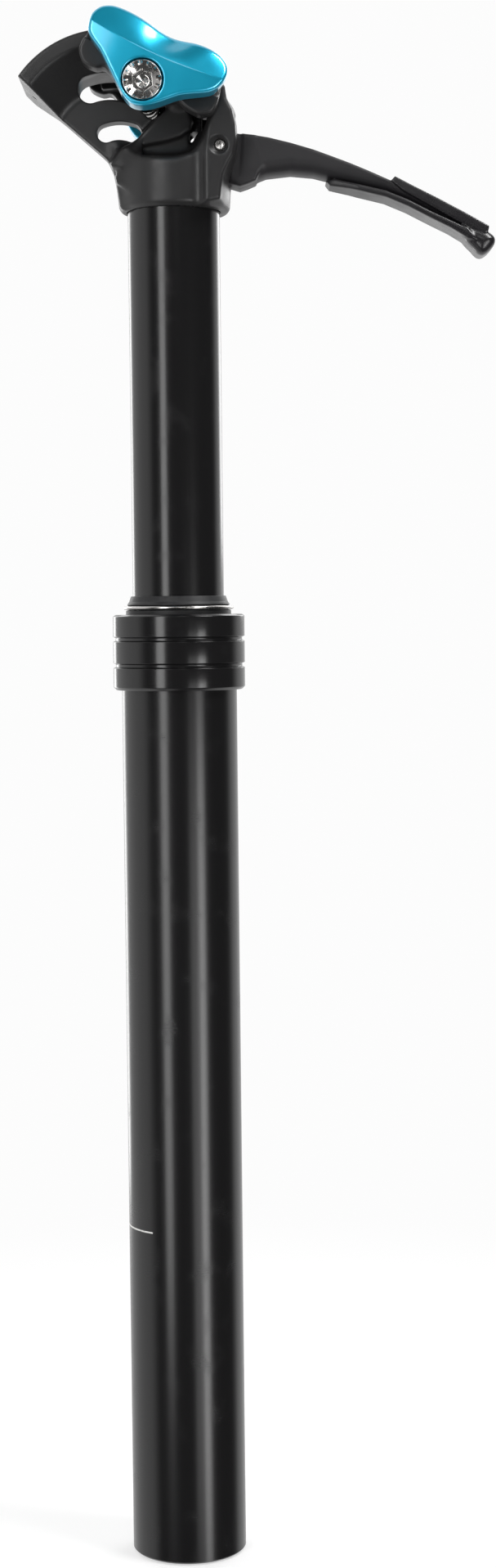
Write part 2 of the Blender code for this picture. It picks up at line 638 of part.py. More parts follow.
def build_cartridge(slider):
    """Gas spring cylinder: tube, liner, gland, rod seal and valve block."""
    base = -HEAD_BOTTOM
    lathe("cartridge_tube", tube_profile(
        CARTRIDGE_BORE, CARTRIDGE_RADIUS, base + CARTRIDGE_BOTTOM, base + CARTRIDGE_TOP),
        PLAIN_ALUMINIUM, slider)
    liner_top = VALVE_BLOCK_BOTTOM - FIXED_GAP
    lathe("cartridge_liner", tube_profile(
        LINER_BORE, LINER_RADIUS, base + SEAL_PACK_TOP + FIXED_GAP, base + liner_top),
        PLAIN_ALUMINIUM, slider)
    fit_radius = CARTRIDGE_BORE - FIXED_GAP
    rod_bore = ROD_RADIUS + SLIDE_GAP
    lathe("rod_gland", tube_profile(
        rod_bore, fit_radius, base + GLAND_BOTTOM, base + GLAND_BOTTOM + GLAND_LENGTH, 0.5 * MM),
        BRASS, slider, SMALL_SIDES)
    seal_bottom = GLAND_BOTTOM + GLAND_LENGTH + FIXED_GAP
    lathe("rod_seal", [
        (rod_bore, base + seal_bottom),
        (fit_radius, base + seal_bottom),
        (fit_radius, base + SEAL_PACK_TOP),
        (rod_bore + 2 * MM, base + SEAL_PACK_TOP),
        (rod_bore + 1.2 * MM, base + SEAL_PACK_TOP - 1.4 * MM),
        (rod_bore, base + SEAL_PACK_TOP - 0.4 * MM)], BLACK_RUBBER, slider, SMALL_SIDES)

    well_radius = VALVE_FLANGE_RADIUS + SLIDE_GAP
    stem_bore = VALVE_STEM_RADIUS + SLIDE_GAP
    well_floor = base + VALVE_NECK_TOP - VALVE_WELL_DEPTH
    ring_height = base + VALVE_BLOCK_BOTTOM + 6 * MM
    ring_groove = fit_radius - 1.3 * MM
    lathe("valve_block", [
        (stem_bore, base + VALVE_BLOCK_BOTTOM),
        (fit_radius, base + VALVE_BLOCK_BOTTOM),
        (fit_radius, ring_height - 0.9 * MM),
        (ring_groove, ring_height - 0.9 * MM),
        (ring_groove, ring_height + 0.9 * MM),
        (fit_radius, ring_height + 0.9 * MM),
        (fit_radius, base + VALVE_SHOULDER),
        (VALVE_NECK_RADIUS, base + VALVE_SHOULDER),
        (VALVE_NECK_RADIUS, base + VALVE_NECK_TOP),
        (well_radius, base + VALVE_NECK_TOP),
        (well_radius, well_floor),
        (stem_bore, well_floor)], BRASS, slider, SMALL_SIDES)
    lathe("valve_seal_ring", torus_profile(ring_groove + 0.75 * MM, ring_height, 0.55 * MM),
          BLACK_RUBBER, slider, SMALL_SIDES)
    coil("valve_spring", VALVE_SPRING_RADIUS, VALVE_SPRING_WIRE, well_floor + 0.1 * MM,
         VALVE_SPRING_LENGTH, VALVE_SPRING_TURNS, BRIGHT_STEEL, slider)


def build_valve_pin(slider):
    """Pin that the lever's nose pushes down to open the gas spring."""
    carrier = axis_empty("valve_slide_axis", (0, 0, VALVE_PIN_TOP - HEAD_BOTTOM), slider)
    top = VALVE_PIN_TOP
    flange_low = VALVE_NECK_TOP - VALVE_WELL_DEPTH + VALVE_SPRING_LENGTH + 0.2 * MM - top
    flange_top = flange_low + VALVE_FLANGE_HEIGHT
    lathe("valve_pin", [
        (0.0, VALVE_BLOCK_BOTTOM - 3 * MM - top),
        (VALVE_STEM_RADIUS, VALVE_BLOCK_BOTTOM - 3 * MM - top),
        (VALVE_STEM_RADIUS, flange_low),
        (VALVE_FLANGE_RADIUS, flange_low),
        (VALVE_FLANGE_RADIUS, flange_top),
        (VALVE_TIP_RADIUS, flange_top),
        (VALVE_TIP_RADIUS, -0.8 * MM),
        (0.6 * MM, 0.0),
        (0.0, 0.0)], BRIGHT_STEEL, carrier, SMALL_SIDES)


# ---- Head -----------------------------------------------------------------------

def rear_edge_point(radius):
    """Where the head's straight rear edge crosses a circle about the arc's centre."""
    low = Vector(REAR_EDGE_LOW)
    along = (Vector(REAR_EDGE_HIGH) - low).normalized()
    offset = low - Vector((ARC_CENTRE_X, ARC_CENTRE_Z))
    half = offset.dot(along)
    reach = -half + math.sqrt(half * half - offset.dot(offset) + radius * radius)
    return low + along * reach


def front_edge():
    """Outer edge in front of the arc: down over the fork's ears to the socket."""
    ear = ((1.7, 12.2), (3.2, 9.4), (4.1, 5.8), (4.1, 1.6), (3.4, -2.4))
    edge = [(8.6 * MM, 36.8 * MM), (12.8 * MM, 33.8 * MM), (14.4 * MM, 31.2 * MM)]
    edge += [(PIVOT_X + x * MM, PIVOT_Z + z * MM) for x, z in ear]
    edge.append((PIVOT_X + EAR_FOOT[0], PIVOT_Z + EAR_FOOT[1]))
    edge.append((SOCKET_RADIUS - 1.6 * MM, 8.0 * MM))
    return edge


def rear_and_arc():
    """Outer edge from the top of the straight rear edge along the arc."""
    centre = (ARC_CENTRE_X, ARC_CENTRE_Z)
    return [REAR_EDGE_HIGH] + arc(centre, ARC_RADIUS, 144, 52, 14)


def web_outline():
    """Side view of the whole web, clockwise from the socket's rear."""
    outline = [(-13.0 * MM, 3.5 * MM), (-14.3 * MM, 6.5 * MM), (-15.5 * MM, 10.5 * MM), REAR_EDGE_LOW]
    outline += rear_and_arc() + front_edge()
    outline.append((SOCKET_RADIUS - 2.2 * MM, 3.5 * MM))
    return outline


def rim_outline(radius, inset):
    """Section of the arc flange and the fork's ears: the recess has draft, so the
    flange is thicker by the inset where it meets the web."""
    end = rear_edge_point(radius)
    centre = (ARC_CENTRE_X, ARC_CENTRE_Z)
    end_angle = math.degrees(math.atan2(end.y - centre[1], end.x - centre[0]))
    inner = ((9.4, 15.0), (9.4, 18.2), (10.3, 21.7), (11.0, 24.9), (12.2, 28.1))
    outline = rear_and_arc() + front_edge()
    outline.append((9.4 * MM - inset, 8.0 * MM))
    outline += [(x * MM - inset, z * MM) for x, z in inner]
    outline += [(12.0 * MM - inset, 30.6 * MM - inset), (9.0 * MM - inset, 31.8 * MM - inset)]
    outline += arc(centre, radius, 36, end_angle, 12)
    return outline


def boss_outline(inset):
    """Edge of the thick middle part around the lever's pocket."""
    return [(-16.6 * MM + 4 * inset, 12.5 * MM), (-16.6 * MM + 4 * inset, 14.4 * MM),
            (-4.4 * MM + inset, 27.2 * MM - inset), (4.6 * MM - inset, 27.6 * MM - inset),
            (7.4 * MM - inset, 24.6 * MM - inset / 2), (7.4 * MM - inset, 19.0 * MM),
            (5.6 * MM - inset, 16.4 * MM), (5.6 * MM - inset, 12.5 * MM)]


def head_solids(slider):
    """What is joined to the web: flange with the fork's ears, boss and socket."""
    draft = 1.4 * MM
    rim = loft("rim_solid", [
        side_ring(rim_outline(DISH_RADIUS, 0.0), -HEAD_HALF_WIDTH),
        side_ring(rim_outline(DISH_FLOOR_RADIUS, draft), -WEB_HALF_WIDTH),
        side_ring(rim_outline(DISH_FLOOR_RADIUS, draft), WEB_HALF_WIDTH),
        side_ring(rim_outline(DISH_RADIUS, 0.0), HEAD_HALF_WIDTH)], parent=slider)
    wide = boss_outline(0.0)
    narrow = boss_outline(1.1 * MM)
    foot = WEB_HALF_WIDTH - 0.1 * MM
    boss = loft("boss_solid", [
        side_ring(narrow, -BOSS_HALF_WIDTH), side_ring(wide, -foot),
        side_ring(wide, foot), side_ring(narrow, BOSS_HALF_WIDTH)], parent=slider)
    socket = lathe("socket_solid", [
        (0.0, 0.0),
        (SOCKET_RADIUS - 0.9 * MM, 0.0),
        (SOCKET_RADIUS, 1.3 * MM),
        (SOCKET_RADIUS, SOCKET_TOP - 0.8 * MM),
        (SOCKET_RADIUS - 0.8 * MM, SOCKET_TOP),
        (0.0, SOCKET_TOP)], parent=slider)
    return [rim, boss, socket]


def head_cuts(slider):
    """What is cut from the head: bores, the lever's space, slot, kidney and pin hole."""
    bore = lathe("stanchion_bore_tool", rod_profile(
        STANCHION_RADIUS + SLIDE_GAP, -1 * MM, SOCKET_DEPTH), parent=slider)
    neck = lathe("valve_neck_tool", rod_profile(
        VALVE_NECK_RADIUS + FIXED_GAP, SOCKET_DEPTH - 1 * MM, POCKET_FLOOR + 1 * MM),
        parent=slider, sides=SMALL_SIDES)
    pocket = box("nose_pocket_tool", (-7.0 * MM, -POCKET_HALF_WIDTH, POCKET_FLOOR),
                 (FORK_BACK + 1 * MM, POCKET_HALF_WIDTH, POCKET_FLOOR + 12.0 * MM), parent=slider)
    fork = box("fork_tool", (FORK_BACK, -FORK_HALF_GAP, PIVOT_Z - 5.3 * MM),
               (PIVOT_X + 12 * MM, FORK_HALF_GAP, PIVOT_Z + 9.6 * MM), parent=slider)
    beyond = 2 * HEAD_HALF_WIDTH
    slot = prism("arc_slot_tool", curved_slot(
        (ARC_CENTRE_X, ARC_CENTRE_Z), BOLT_ARC_RADIUS, SLOT_FRONT_ANGLE, SLOT_REAR_ANGLE,
        BOLT_HOLE_RADIUS), -beyond, beyond, parent=slider)
    kidney = prism("kidney_tool", curved_slot(
        (-14.2 * MM, 11.6 * MM), 9.8 * MM, 66, 114, 2.9 * MM), -beyond, beyond, parent=slider)
    pin_hole = lathe("pin_hole_tool", rod_profile(PIVOT_RADIUS + SLIDE_GAP, -beyond, beyond),
                     parent=slider, sides=SMALL_SIDES, axis=ALONG_Y)
    pin_hole.location = (PIVOT_X, 0, PIVOT_Z)
    return [bore, neck, pocket, fork, slot, kidney, pin_hole]


def build_head(slider):
    """Head: socket, web, arc flange with the clamp's slot, and the lever's fork."""
    head = prism("head", web_outline(), -WEB_HALF_WIDTH, WEB_HALF_WIDTH, BLACK_SATIN, slider)
    combine_all(head, head_solids(slider), "UNION")
    combine_all(head, head_cuts(slider), "DIFFERENCE")


# ---- Lever ------------------------------------------------------------------------

def section_ring(x, top, bottom, half_width):
    """Rounded rectangle across the lever at one place along it."""
    corner = min(1.6 * MM, (top - bottom) * 0.35)
    ring = []
    corners = ((1, 1, 0), (-1, 1, 90), (-1, -1, 180), (1, -1, 270))
    middle = (top + bottom) / 2
    half_height = (top - bottom) / 2
    for side, up, start in corners:
        centre = (side * (half_width - corner), middle + up * (half_height - corner))
        for y, z in arc(centre, corner, start, start + 90, 2):
            ring.append(Vector((x, y, z)))
    return ring


def build_lever(slider):
    """Lever: fork end, nose over the valve pin, curved arm and paddle."""
    pivot = axis_empty("lever_pivot_axis", (PIVOT_X, 0, PIVOT_Z), slider)
    arm = LEVER_HALF_WIDTH
    paddle = PADDLE_HALF_WIDTH
    # Distance in front of the post's axis, top, bottom and half width, above the head's rim
    stations = ((19.0, 19.9, 5.1, arm), (22.0, 19.7, 6.3, arm), (26.0, 19.0, 7.7, arm),
                (32.0, 17.4, 8.3, arm), (38.0, 15.6, 7.7, arm), (41.4, 14.3, 6.9, arm),
                (43.2, 13.6, 6.1, paddle - 0.4 * MM), (48.0, 11.8, 6.0, paddle),
                (58.6, 7.4, 2.9, paddle), (59.8, 8.2, 2.5, paddle), (67.2, 4.4, -0.6, paddle),
                (76.7, -0.5, -5.8, paddle), (80.6, -2.7, -9.2, paddle),
                (83.2, -4.2, -13.4, paddle - 0.3 * MM), (86.0, -5.9, -11.9, paddle - 0.8 * MM),
                (87.6, -8.0, -9.8, paddle - 2.4 * MM))
    rings = []
    for x, top, bottom, half_width in stations:
        ring = section_ring(x * MM - PIVOT_X, top * MM - PIVOT_Z, bottom * MM - PIVOT_Z, half_width)
        rings.append(ring)
    lever = loft("lever", rings, BLACK_SATIN, pivot)

    clear_x = max(SOCKET_RADIUS - PIVOT_X, EAR_FOOT[0]) + ROOT_CLEARANCE
    root = [(clear_x, -9.6 * MM), (clear_x + 3.3 * MM, -10.8 * MM), (7.4 * MM, -10.2 * MM),
            (9.6 * MM, -9.3 * MM), (9.6 * MM, 3.6 * MM), (6.4 * MM, 4.2 * MM),
            (3.9 * MM, 4.5 * MM), (1.0 * MM, 4.7 * MM), (-1.8 * MM, 4.2 * MM),
            (-3.6 * MM, 2.6 * MM), (-4.2 * MM, 0.0), (-3.4 * MM, -2.8 * MM),
            (-0.6 * MM, -4.4 * MM), (clear_x, -4.9 * MM)]
    fuse(lever, prism("lever_root_tool", root, -arm, arm, parent=pivot))
    nose_low = NOSE_UNDERSIDE - PIVOT_Z
    nose = [(-0.5 * MM, nose_low), (-15.2 * MM, nose_low), (-15.8 * MM, nose_low + 0.8 * MM),
            (-15.4 * MM, -0.6 * MM), (-11.0 * MM, 1.2 * MM), (-0.5 * MM, 3.6 * MM)]
    fuse(lever, prism("lever_nose_tool", nose, -NOSE_HALF_WIDTH, NOSE_HALF_WIDTH, parent=pivot))
    hole = lathe("lever_hole_tool", rod_profile(PIVOT_RADIUS + SLIDE_GAP, -20 * MM, 20 * MM),
                 parent=pivot, sides=SMALL_SIDES, axis=ALONG_Y)
    cut(lever, hole)

    reach = HEAD_HALF_WIDTH - 0.5 * MM
    pin = lathe("lever_pin", rod_profile(PIVOT_RADIUS, -reach, reach, 0.3 * MM),
                BRIGHT_STEEL, slider, SMALL_SIDES, ALONG_Y)
    pin.location = (PIVOT_X, 0, PIVOT_Z)


# ---- Saddle clamp ------------------------------------------------------------------

def lobed_outline(half_length, end_low, end_high, dip, lobe_radius):
    """Three-lobed side view about the bolt's axis: two rail ends and a bolt lobe."""
    end_radius = 3.4 * MM
    high = (half_length - end_radius, end_high - end_radius)
    low = (half_length - end_radius, end_low + end_radius)
    outline = arc((high[0], high[1]), end_radius, 5, 80, 4)
    outline += [(half_length * 0.42, dip + 0.7 * MM), (0.0, dip), (-half_length * 0.42, dip + 0.7 * MM)]
    outline += arc((-high[0], high[1]), end_radius, 100, 175, 4)
    outline += arc((-low[0], low[1]), end_radius, 190, 250, 4)
    outline += arc((0.0, 0.0), lobe_radius, 215, 325, 8)
    outline += arc((low[0], low[1]), end_radius, 290, 350, 4)
    return outline


def rail_channel(name, side, parent):
    """Round channel for one saddle rail, cut along the clamp."""
    channel = lathe(name, rod_profile(RAIL_RADIUS + RAIL_FIT, -40 * MM, 40 * MM),
                    parent=parent, sides=SMALL_SIDES, axis=Matrix.Rotation(math.pi / 2, 4, "Y"))
    channel.location = (0, side * RAIL_HALF_SPACING, RAIL_ABOVE_BOLT)
    return channel


def bolt_hole(name, radius, start, end, parent):
    """Cylinder along Y on the bolt's axis, for cutting."""
    return lathe(name, rod_profile(radius, start, end), parent=parent, sides=SMALL_SIDES,
                 axis=ALONG_Y)


def build_cradle(side, label, tilt_frame):
    """Black inner cradle between the head's flange and one rail."""
    outline = lobed_outline(CRADLE_HALF_LENGTH, 0.6 * MM, CRADLE_TOP + 1.2 * MM, CRADLE_TOP, 7.6 * MM)
    cradle = prism(f"{label}_inner_cradle", outline, side * CRADLE_INNER, side * CRADLE_OUTER,
                   BLACK_SATIN, tilt_frame)
    # Wedge that sits on the sloping wall of the head's recess
    tilt = CLAMP_TILT
    centre = Vector((math.cos(math.radians(BOLT_ARC_ANGLE)), math.sin(math.radians(BOLT_ARC_ANGLE))))
    centre = centre * -BOLT_ARC_RADIUS
    turn = Matrix.Rotation(math.radians(tilt), 2)
    centre = turn @ centre
    slope = (DISH_RADIUS - DISH_FLOOR_RADIUS) / (HEAD_HALF_WIDTH - WEB_HALF_WIDTH)
    reach = 2.6 * MM
    first = 50 + tilt
    last = 100 + tilt
    rings = []
    for depth in (-1.0 * MM, reach + FIXED_GAP):
        radius = DISH_RADIUS - slope * (depth - FIXED_GAP) - 2 * FIXED_GAP
        inner = BOLT_ARC_RADIUS + 5.0 * MM - reach
        outline = arc(centre, radius, first, last, 8) + arc(centre, inner, last, first, 8)
        rings.append(side_ring(outline, side * (CRADLE_INNER - depth)))
    fuse(cradle, loft(f"{label}_wedge_tool", rings, parent=tilt_frame))
    cut(cradle, rail_channel(f"{label}_cradle_channel_tool", side, tilt_frame))
    cut(cradle, bolt_hole(f"{label}_cradle_hole_tool", BOLT_HOLE_RADIUS, -40 * MM, 40 * MM, tilt_frame))


def plate_rings(side):
    """The clamp plate's rings: full outline inside, curled in over the rail outside."""
    outline = lobed_outline(PLATE_HALF_LENGTH, 2.2 * MM, 15.6 * MM, 13.6 * MM, 7.0 * MM)
    flat = []
    middle = []
    for x, z in outline:
        along = x / PLATE_HALF_LENGTH
        crease = (7.0 + 1.6 * along * along) * MM
        kept = z if z < 0 else z * crease / (14.0 * MM)
        flat.append((x * 0.965, kept))
        middle.append((x * 0.99, z if z < 0 else (0.35 * kept + 0.65 * z)))
    full = PLATE_INNER + PLATE_RIM
    return [side_ring(outline, side * PLATE_INNER), side_ring(outline, side * full),
            side_ring(middle, side * (full + 0.72 * (PLATE_OUTER - full))),
            side_ring(flat, side * PLATE_OUTER)]


def build_plate(side, label, tilt_frame):
    """Blue clamp plate outside one rail."""
    carrier = axis_empty(f"{label}_plate_slide_axis", (0, 0, 0), tilt_frame)
    plate = loft(f"{label}_clamp_plate", plate_rings(side), BLUE_ANODISED, carrier)
    cut(plate, rail_channel(f"{label}_plate_channel_tool", side, carrier))
    cut(plate, bolt_hole(f"{label}_plate_hole_tool", BOLT_HOLE_RADIUS, -40 * MM, 40 * MM, carrier))
    return plate, carrier


def build_clamp(slider):
    """Saddle clamp: two cradles on the head's arc, two plates, a bolt and a nut."""
    tilt_axis = axis_empty("clamp_tilt_axis", (ARC_CENTRE_X, 0, ARC_CENTRE_Z), slider)
    angle = math.radians(BOLT_ARC_ANGLE)
    offset = (BOLT_ARC_RADIUS * math.cos(angle), 0, BOLT_ARC_RADIUS * math.sin(angle))
    tilt_frame = axis_empty("clamp_frame", offset, tilt_axis, CLAMP_TILT)
    build_cradle(-1, "right", tilt_frame)
    build_cradle(1, "left", tilt_frame)

    right_plate, right_carrier = build_plate(-1, "right", tilt_frame)
    head_bore = BOLT_HEAD_RADIUS + FIXED_GAP
    cut(right_plate, bolt_hole("counterbore_tool", head_bore, -40 * MM, -COUNTERBORE_FLOOR,
                               right_carrier))
    washer_start = COUNTERBORE_FLOOR + FIXED_GAP
    lathe("bolt_washer", tube_profile(BOLT_HOLE_RADIUS, BOLT_HEAD_RADIUS,
                                      -washer_start - WASHER_THICKNESS, -washer_start),
          BRIGHT_STEEL, right_carrier, SMALL_SIDES, ALONG_Y)

    left_plate, left_carrier = build_plate(1, "left", tilt_frame)
    nut_floor = PLATE_OUTER - NUT_HEIGHT - FIXED_GAP
    nut_pocket = lathe("nut_pocket_tool", rod_profile(NUT_RADIUS + FIXED_GAP, nut_floor, 40 * MM),
                       parent=left_carrier, sides=6, axis=ALONG_Y)
    cut(left_plate, nut_pocket)
    hex_nut("clamp_nut", BOLT_RADIUS + SLIDE_GAP, NUT_RADIUS, nut_floor + FIXED_GAP,
            nut_floor + NUT_HEIGHT, BRIGHT_STEEL, left_carrier, ALONG_Y)

    bolt_end = PLATE_OUTER - 0.2 * MM
    head_face = BOLT_HEAD_BASE + BOLT_HEAD_HEIGHT
    bolt = lathe("clamp_bolt", [
        (0.0, -head_face),
        (BOLT_HEAD_RADIUS - 0.7 * MM, -head_face),
        (BOLT_HEAD_RADIUS, -head_face + 0.7 * MM),
        (BOLT_HEAD_RADIUS, -BOLT_HEAD_BASE),
        (BOLT_RADIUS, -BOLT_HEAD_BASE),
        (BOLT_RADIUS, bolt_end - 0.6 * MM),
        (BOLT_RADIUS - 0.6 * MM, bolt_end),
        (0.0, bolt_end)], BRIGHT_STEEL, right_carrier, SMALL_SIDES, ALONG_Y)
    socket = lathe("bolt_socket_tool", rod_profile(
        BOLT_SOCKET_RADIUS, -40 * MM, -head_face + BOLT_SOCKET_DEPTH),
        parent=right_carrier, sides=6, axis=ALONG_Y)
    cut(bolt, socket)


def main():
    clear_scene()
    build_outer_tube()
    build_collar()
    build_wiper()
    build_upper_bushing()
    build_base()
    build_rod_and_piston()
    slider = axis_empty("post_slide_axis", (0, 0, HEAD_BOTTOM))
    build_stanchion(slider)
    build_cartridge(slider)
    build_valve_pin(slider)
    build_head(slider)
    build_lever(slider)
    build_clamp(slider)


main()
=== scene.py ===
"""Looks of a telescopic seatpost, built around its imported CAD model.

The carved pieces (head, lever, cradles and clamp plates) are solids described by signed
distances, so that their corners and fillets are really round. They are worked out in
millimetres, in a frame of their own, and placed in metres in the CAD's frame.
"""

import json
import math

import bmesh
import bpy
import numpy as np
from mathutils import Matrix, Vector


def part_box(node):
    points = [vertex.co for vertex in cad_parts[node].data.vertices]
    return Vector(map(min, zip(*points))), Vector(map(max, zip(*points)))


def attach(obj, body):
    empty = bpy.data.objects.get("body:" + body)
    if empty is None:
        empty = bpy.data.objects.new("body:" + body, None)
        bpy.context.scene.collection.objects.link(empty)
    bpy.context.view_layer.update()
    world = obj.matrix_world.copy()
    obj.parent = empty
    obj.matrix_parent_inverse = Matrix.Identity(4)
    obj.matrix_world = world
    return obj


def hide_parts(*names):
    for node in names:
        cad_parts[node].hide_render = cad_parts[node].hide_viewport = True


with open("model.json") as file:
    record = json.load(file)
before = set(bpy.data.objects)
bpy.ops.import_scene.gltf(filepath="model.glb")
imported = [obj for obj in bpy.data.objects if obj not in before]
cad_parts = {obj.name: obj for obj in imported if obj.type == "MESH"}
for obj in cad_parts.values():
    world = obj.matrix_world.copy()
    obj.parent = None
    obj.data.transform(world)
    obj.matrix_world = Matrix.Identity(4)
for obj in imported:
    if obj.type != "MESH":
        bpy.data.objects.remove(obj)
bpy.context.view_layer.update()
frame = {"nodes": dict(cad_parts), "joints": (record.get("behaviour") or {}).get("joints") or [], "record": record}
MM = 0.001


# ---- Places and sizes, from the frame ----------------------------------------------

def joint(name):
    """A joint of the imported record."""
    return next(j for j in frame["joints"] if j["name"] == name)


def in_mm(value):
    return value / MM


OUTER_RADIUS = in_mm(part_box("outer_tube")[1].x)
OUTER_LENGTH = in_mm(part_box("outer_tube")[1].z)
STANCHION_LOW, STANCHION_HIGH = (in_mm(corner.z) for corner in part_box("stanchion"))
STANCHION_RADIUS = in_mm(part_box("stanchion")[1].x)
COLLAR_LOW, COLLAR_HIGH = (in_mm(corner.z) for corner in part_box("collar"))
COLLAR_RADIUS = in_mm(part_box("collar")[1].x)
SEAL_HIGH = in_mm(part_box("wiper_seal")[1].z)
SEAL_RADIUS = in_mm(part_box("wiper_seal")[1].x)
RING_LOW, RING_HIGH = (in_mm(corner.z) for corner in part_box("wiper_spring_ring"))
HEAD_LOW = in_mm(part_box("head")[0].z)
HEAD_HALF_WIDTH = in_mm(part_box("head")[1].y)
PIVOT = joint("lever_pivot")["pos_m"]
ARC_CENTRE = joint("clamp_tilt")["pos_m"]
BOLT_AXIS = joint("bolt_turn")["pos_m"]
PLATE_INNER = in_mm(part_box("left_clamp_plate")[0].y)
PLATE_OUTER = in_mm(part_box("left_clamp_plate")[1].y)
CRADLE_OUTER = in_mm(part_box("left_inner_cradle")[1].y)
CRADLE_INNER = 6.2
BASE_FACE = in_mm(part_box("base_plug")[0].z)

# Tubes
TUBE_WALL = 2.2
STANCHION_WALL = 2.0
TUBE_SIDES = 192
GAP = 0.15
KEY_TURNS = [math.pi / 2 + 2 * math.pi * i / 3 for i in range(3)]

# Head, in its side view: x from the post's axis, z from the socket's rim
ARC_X = in_mm(ARC_CENTRE[0])
ARC_Z = in_mm(ARC_CENTRE[2]) - HEAD_LOW
PIVOT_X = in_mm(PIVOT[0])
PIVOT_Z = in_mm(PIVOT[2]) - HEAD_LOW
ARC_RADIUS = 29.6
DISH_RADIUS = 25.5
DISH_FLOOR_RADIUS = 19.2
WEB_HALF_WIDTH = 3.0
BOSS_HALF_WIDTH = 7.2
SOCKET_RADIUS = 14.2
SOCKET_TOP = 13.5
SOCKET_DEPTH = 6.6
BOLT_ARC_RADIUS = 16.2
SLOT_ANGLES = (42.0, 109.0)
SLOT_HALF_WIDTH = 3.2
PIN_RADIUS = 1.5
REAR_LOW = (-17.6, 14.0)
REAR_HIGH = (-38.6, 32.4)

# Clamp, in a frame on the bolt's axis that is tilted with the rails
CLAMP_TILT = math.radians(24.5)
RAIL_RADIUS = 3.6
RAIL_SPACING = 22.0
RAIL_HEIGHT = 9.0
BOLT_RADIUS = 3.0
BOLT_HEAD_RADIUS = 5.25
BOLT_HEAD_HEIGHT = 4.5

# The smallest fillet that a join of distances can have
SHARP = 1e-6


# ---- Signed distances ----------------------------------------------------------------
# Each is negative inside its shape. They work on numpy arrays of any shape.

def join(a, b, fillet=0.0):
    """Both shapes, with the corner between them filled."""
    fillet = np.maximum(fillet, SHARP)
    h = np.maximum(fillet - np.abs(a - b), 0.0)
    return np.minimum(a, b) - h * h / (4 * fillet)


def meet(a, b, edge=0.0):
    """What is in both shapes, with the edge between them rounded."""
    return -join(-a, -b, edge)


def cut(a, b, edge=0.0):
    """The first shape without the second, with a rounded edge."""
    return meet(a, -b, edge)


def outline(x, z, points):
    """Distance to a closed outline of (x, z) points."""
    nearest = np.full(np.broadcast(x, z).shape, np.inf)
    inside = np.zeros(nearest.shape, bool)
    for (ax, az), (bx, bz) in zip(points, points[1:] + points[:1]):
        ex, ez = bx - ax, bz - az
        along = np.clip(((x - ax) * ex + (z - az) * ez) / (ex * ex + ez * ez), 0.0, 1.0)
        nearest = np.minimum(nearest, (x - ax - ex * along) ** 2 + (z - az - ez * along) ** 2)
        if ez:
            inside ^= ((az > z) != (bz > z)) & (x < ex * (z - az) / ez + ax)
    return np.where(inside, -1.0, 1.0) * np.sqrt(nearest)


def round_slot(x, z, centre, radius, angles, half_width):
    """Distance to a slot that follows an arc; angles in degrees."""
    start, end = (math.radians(a) for a in angles)
    middle = (start + end) / 2
    turn = np.arctan2(z - centre[1], x - centre[0]) - middle
    turn = (turn + np.pi) % (2 * np.pi) - np.pi
    turn = middle + np.clip(turn, start - middle, end - middle)
    px = centre[0] + radius * np.cos(turn)
    pz = centre[1] + radius * np.sin(turn)
    return np.hypot(x - px, z - pz) - half_width


def polygon_rod(u, v, across, sides=6):
    """Distance to a regular polygon with this radius across its flats."""
    angle = np.arctan2(v, u)
    sector = 2 * math.pi / sides
    folded = (angle + sector / 2) % sector - sector / 2
    return np.hypot(u, v) * np.cos(folded) - across


def smooth_loop(points, steps=4):
    """A closed outline through the points, curved between them."""
    loop = []
    count = len(points)
    for i in range(count):
        p0, p1, p2, p3 = (np.array(points[(i + k) % count], float) for k in (-1, 0, 1, 2))
        for s in range(steps):
            t = s / steps
            loop.append(tuple(0.5 * (2 * p1 + (p2 - p0) * t + (2 * p0 - 5 * p1 + 4 * p2 - p3) * t * t
                                     + (3 * p1 - p0 - 3 * p2 + p3) * t ** 3)))
    return loop


# ---- From distances to meshes ----------------------------------------------------------

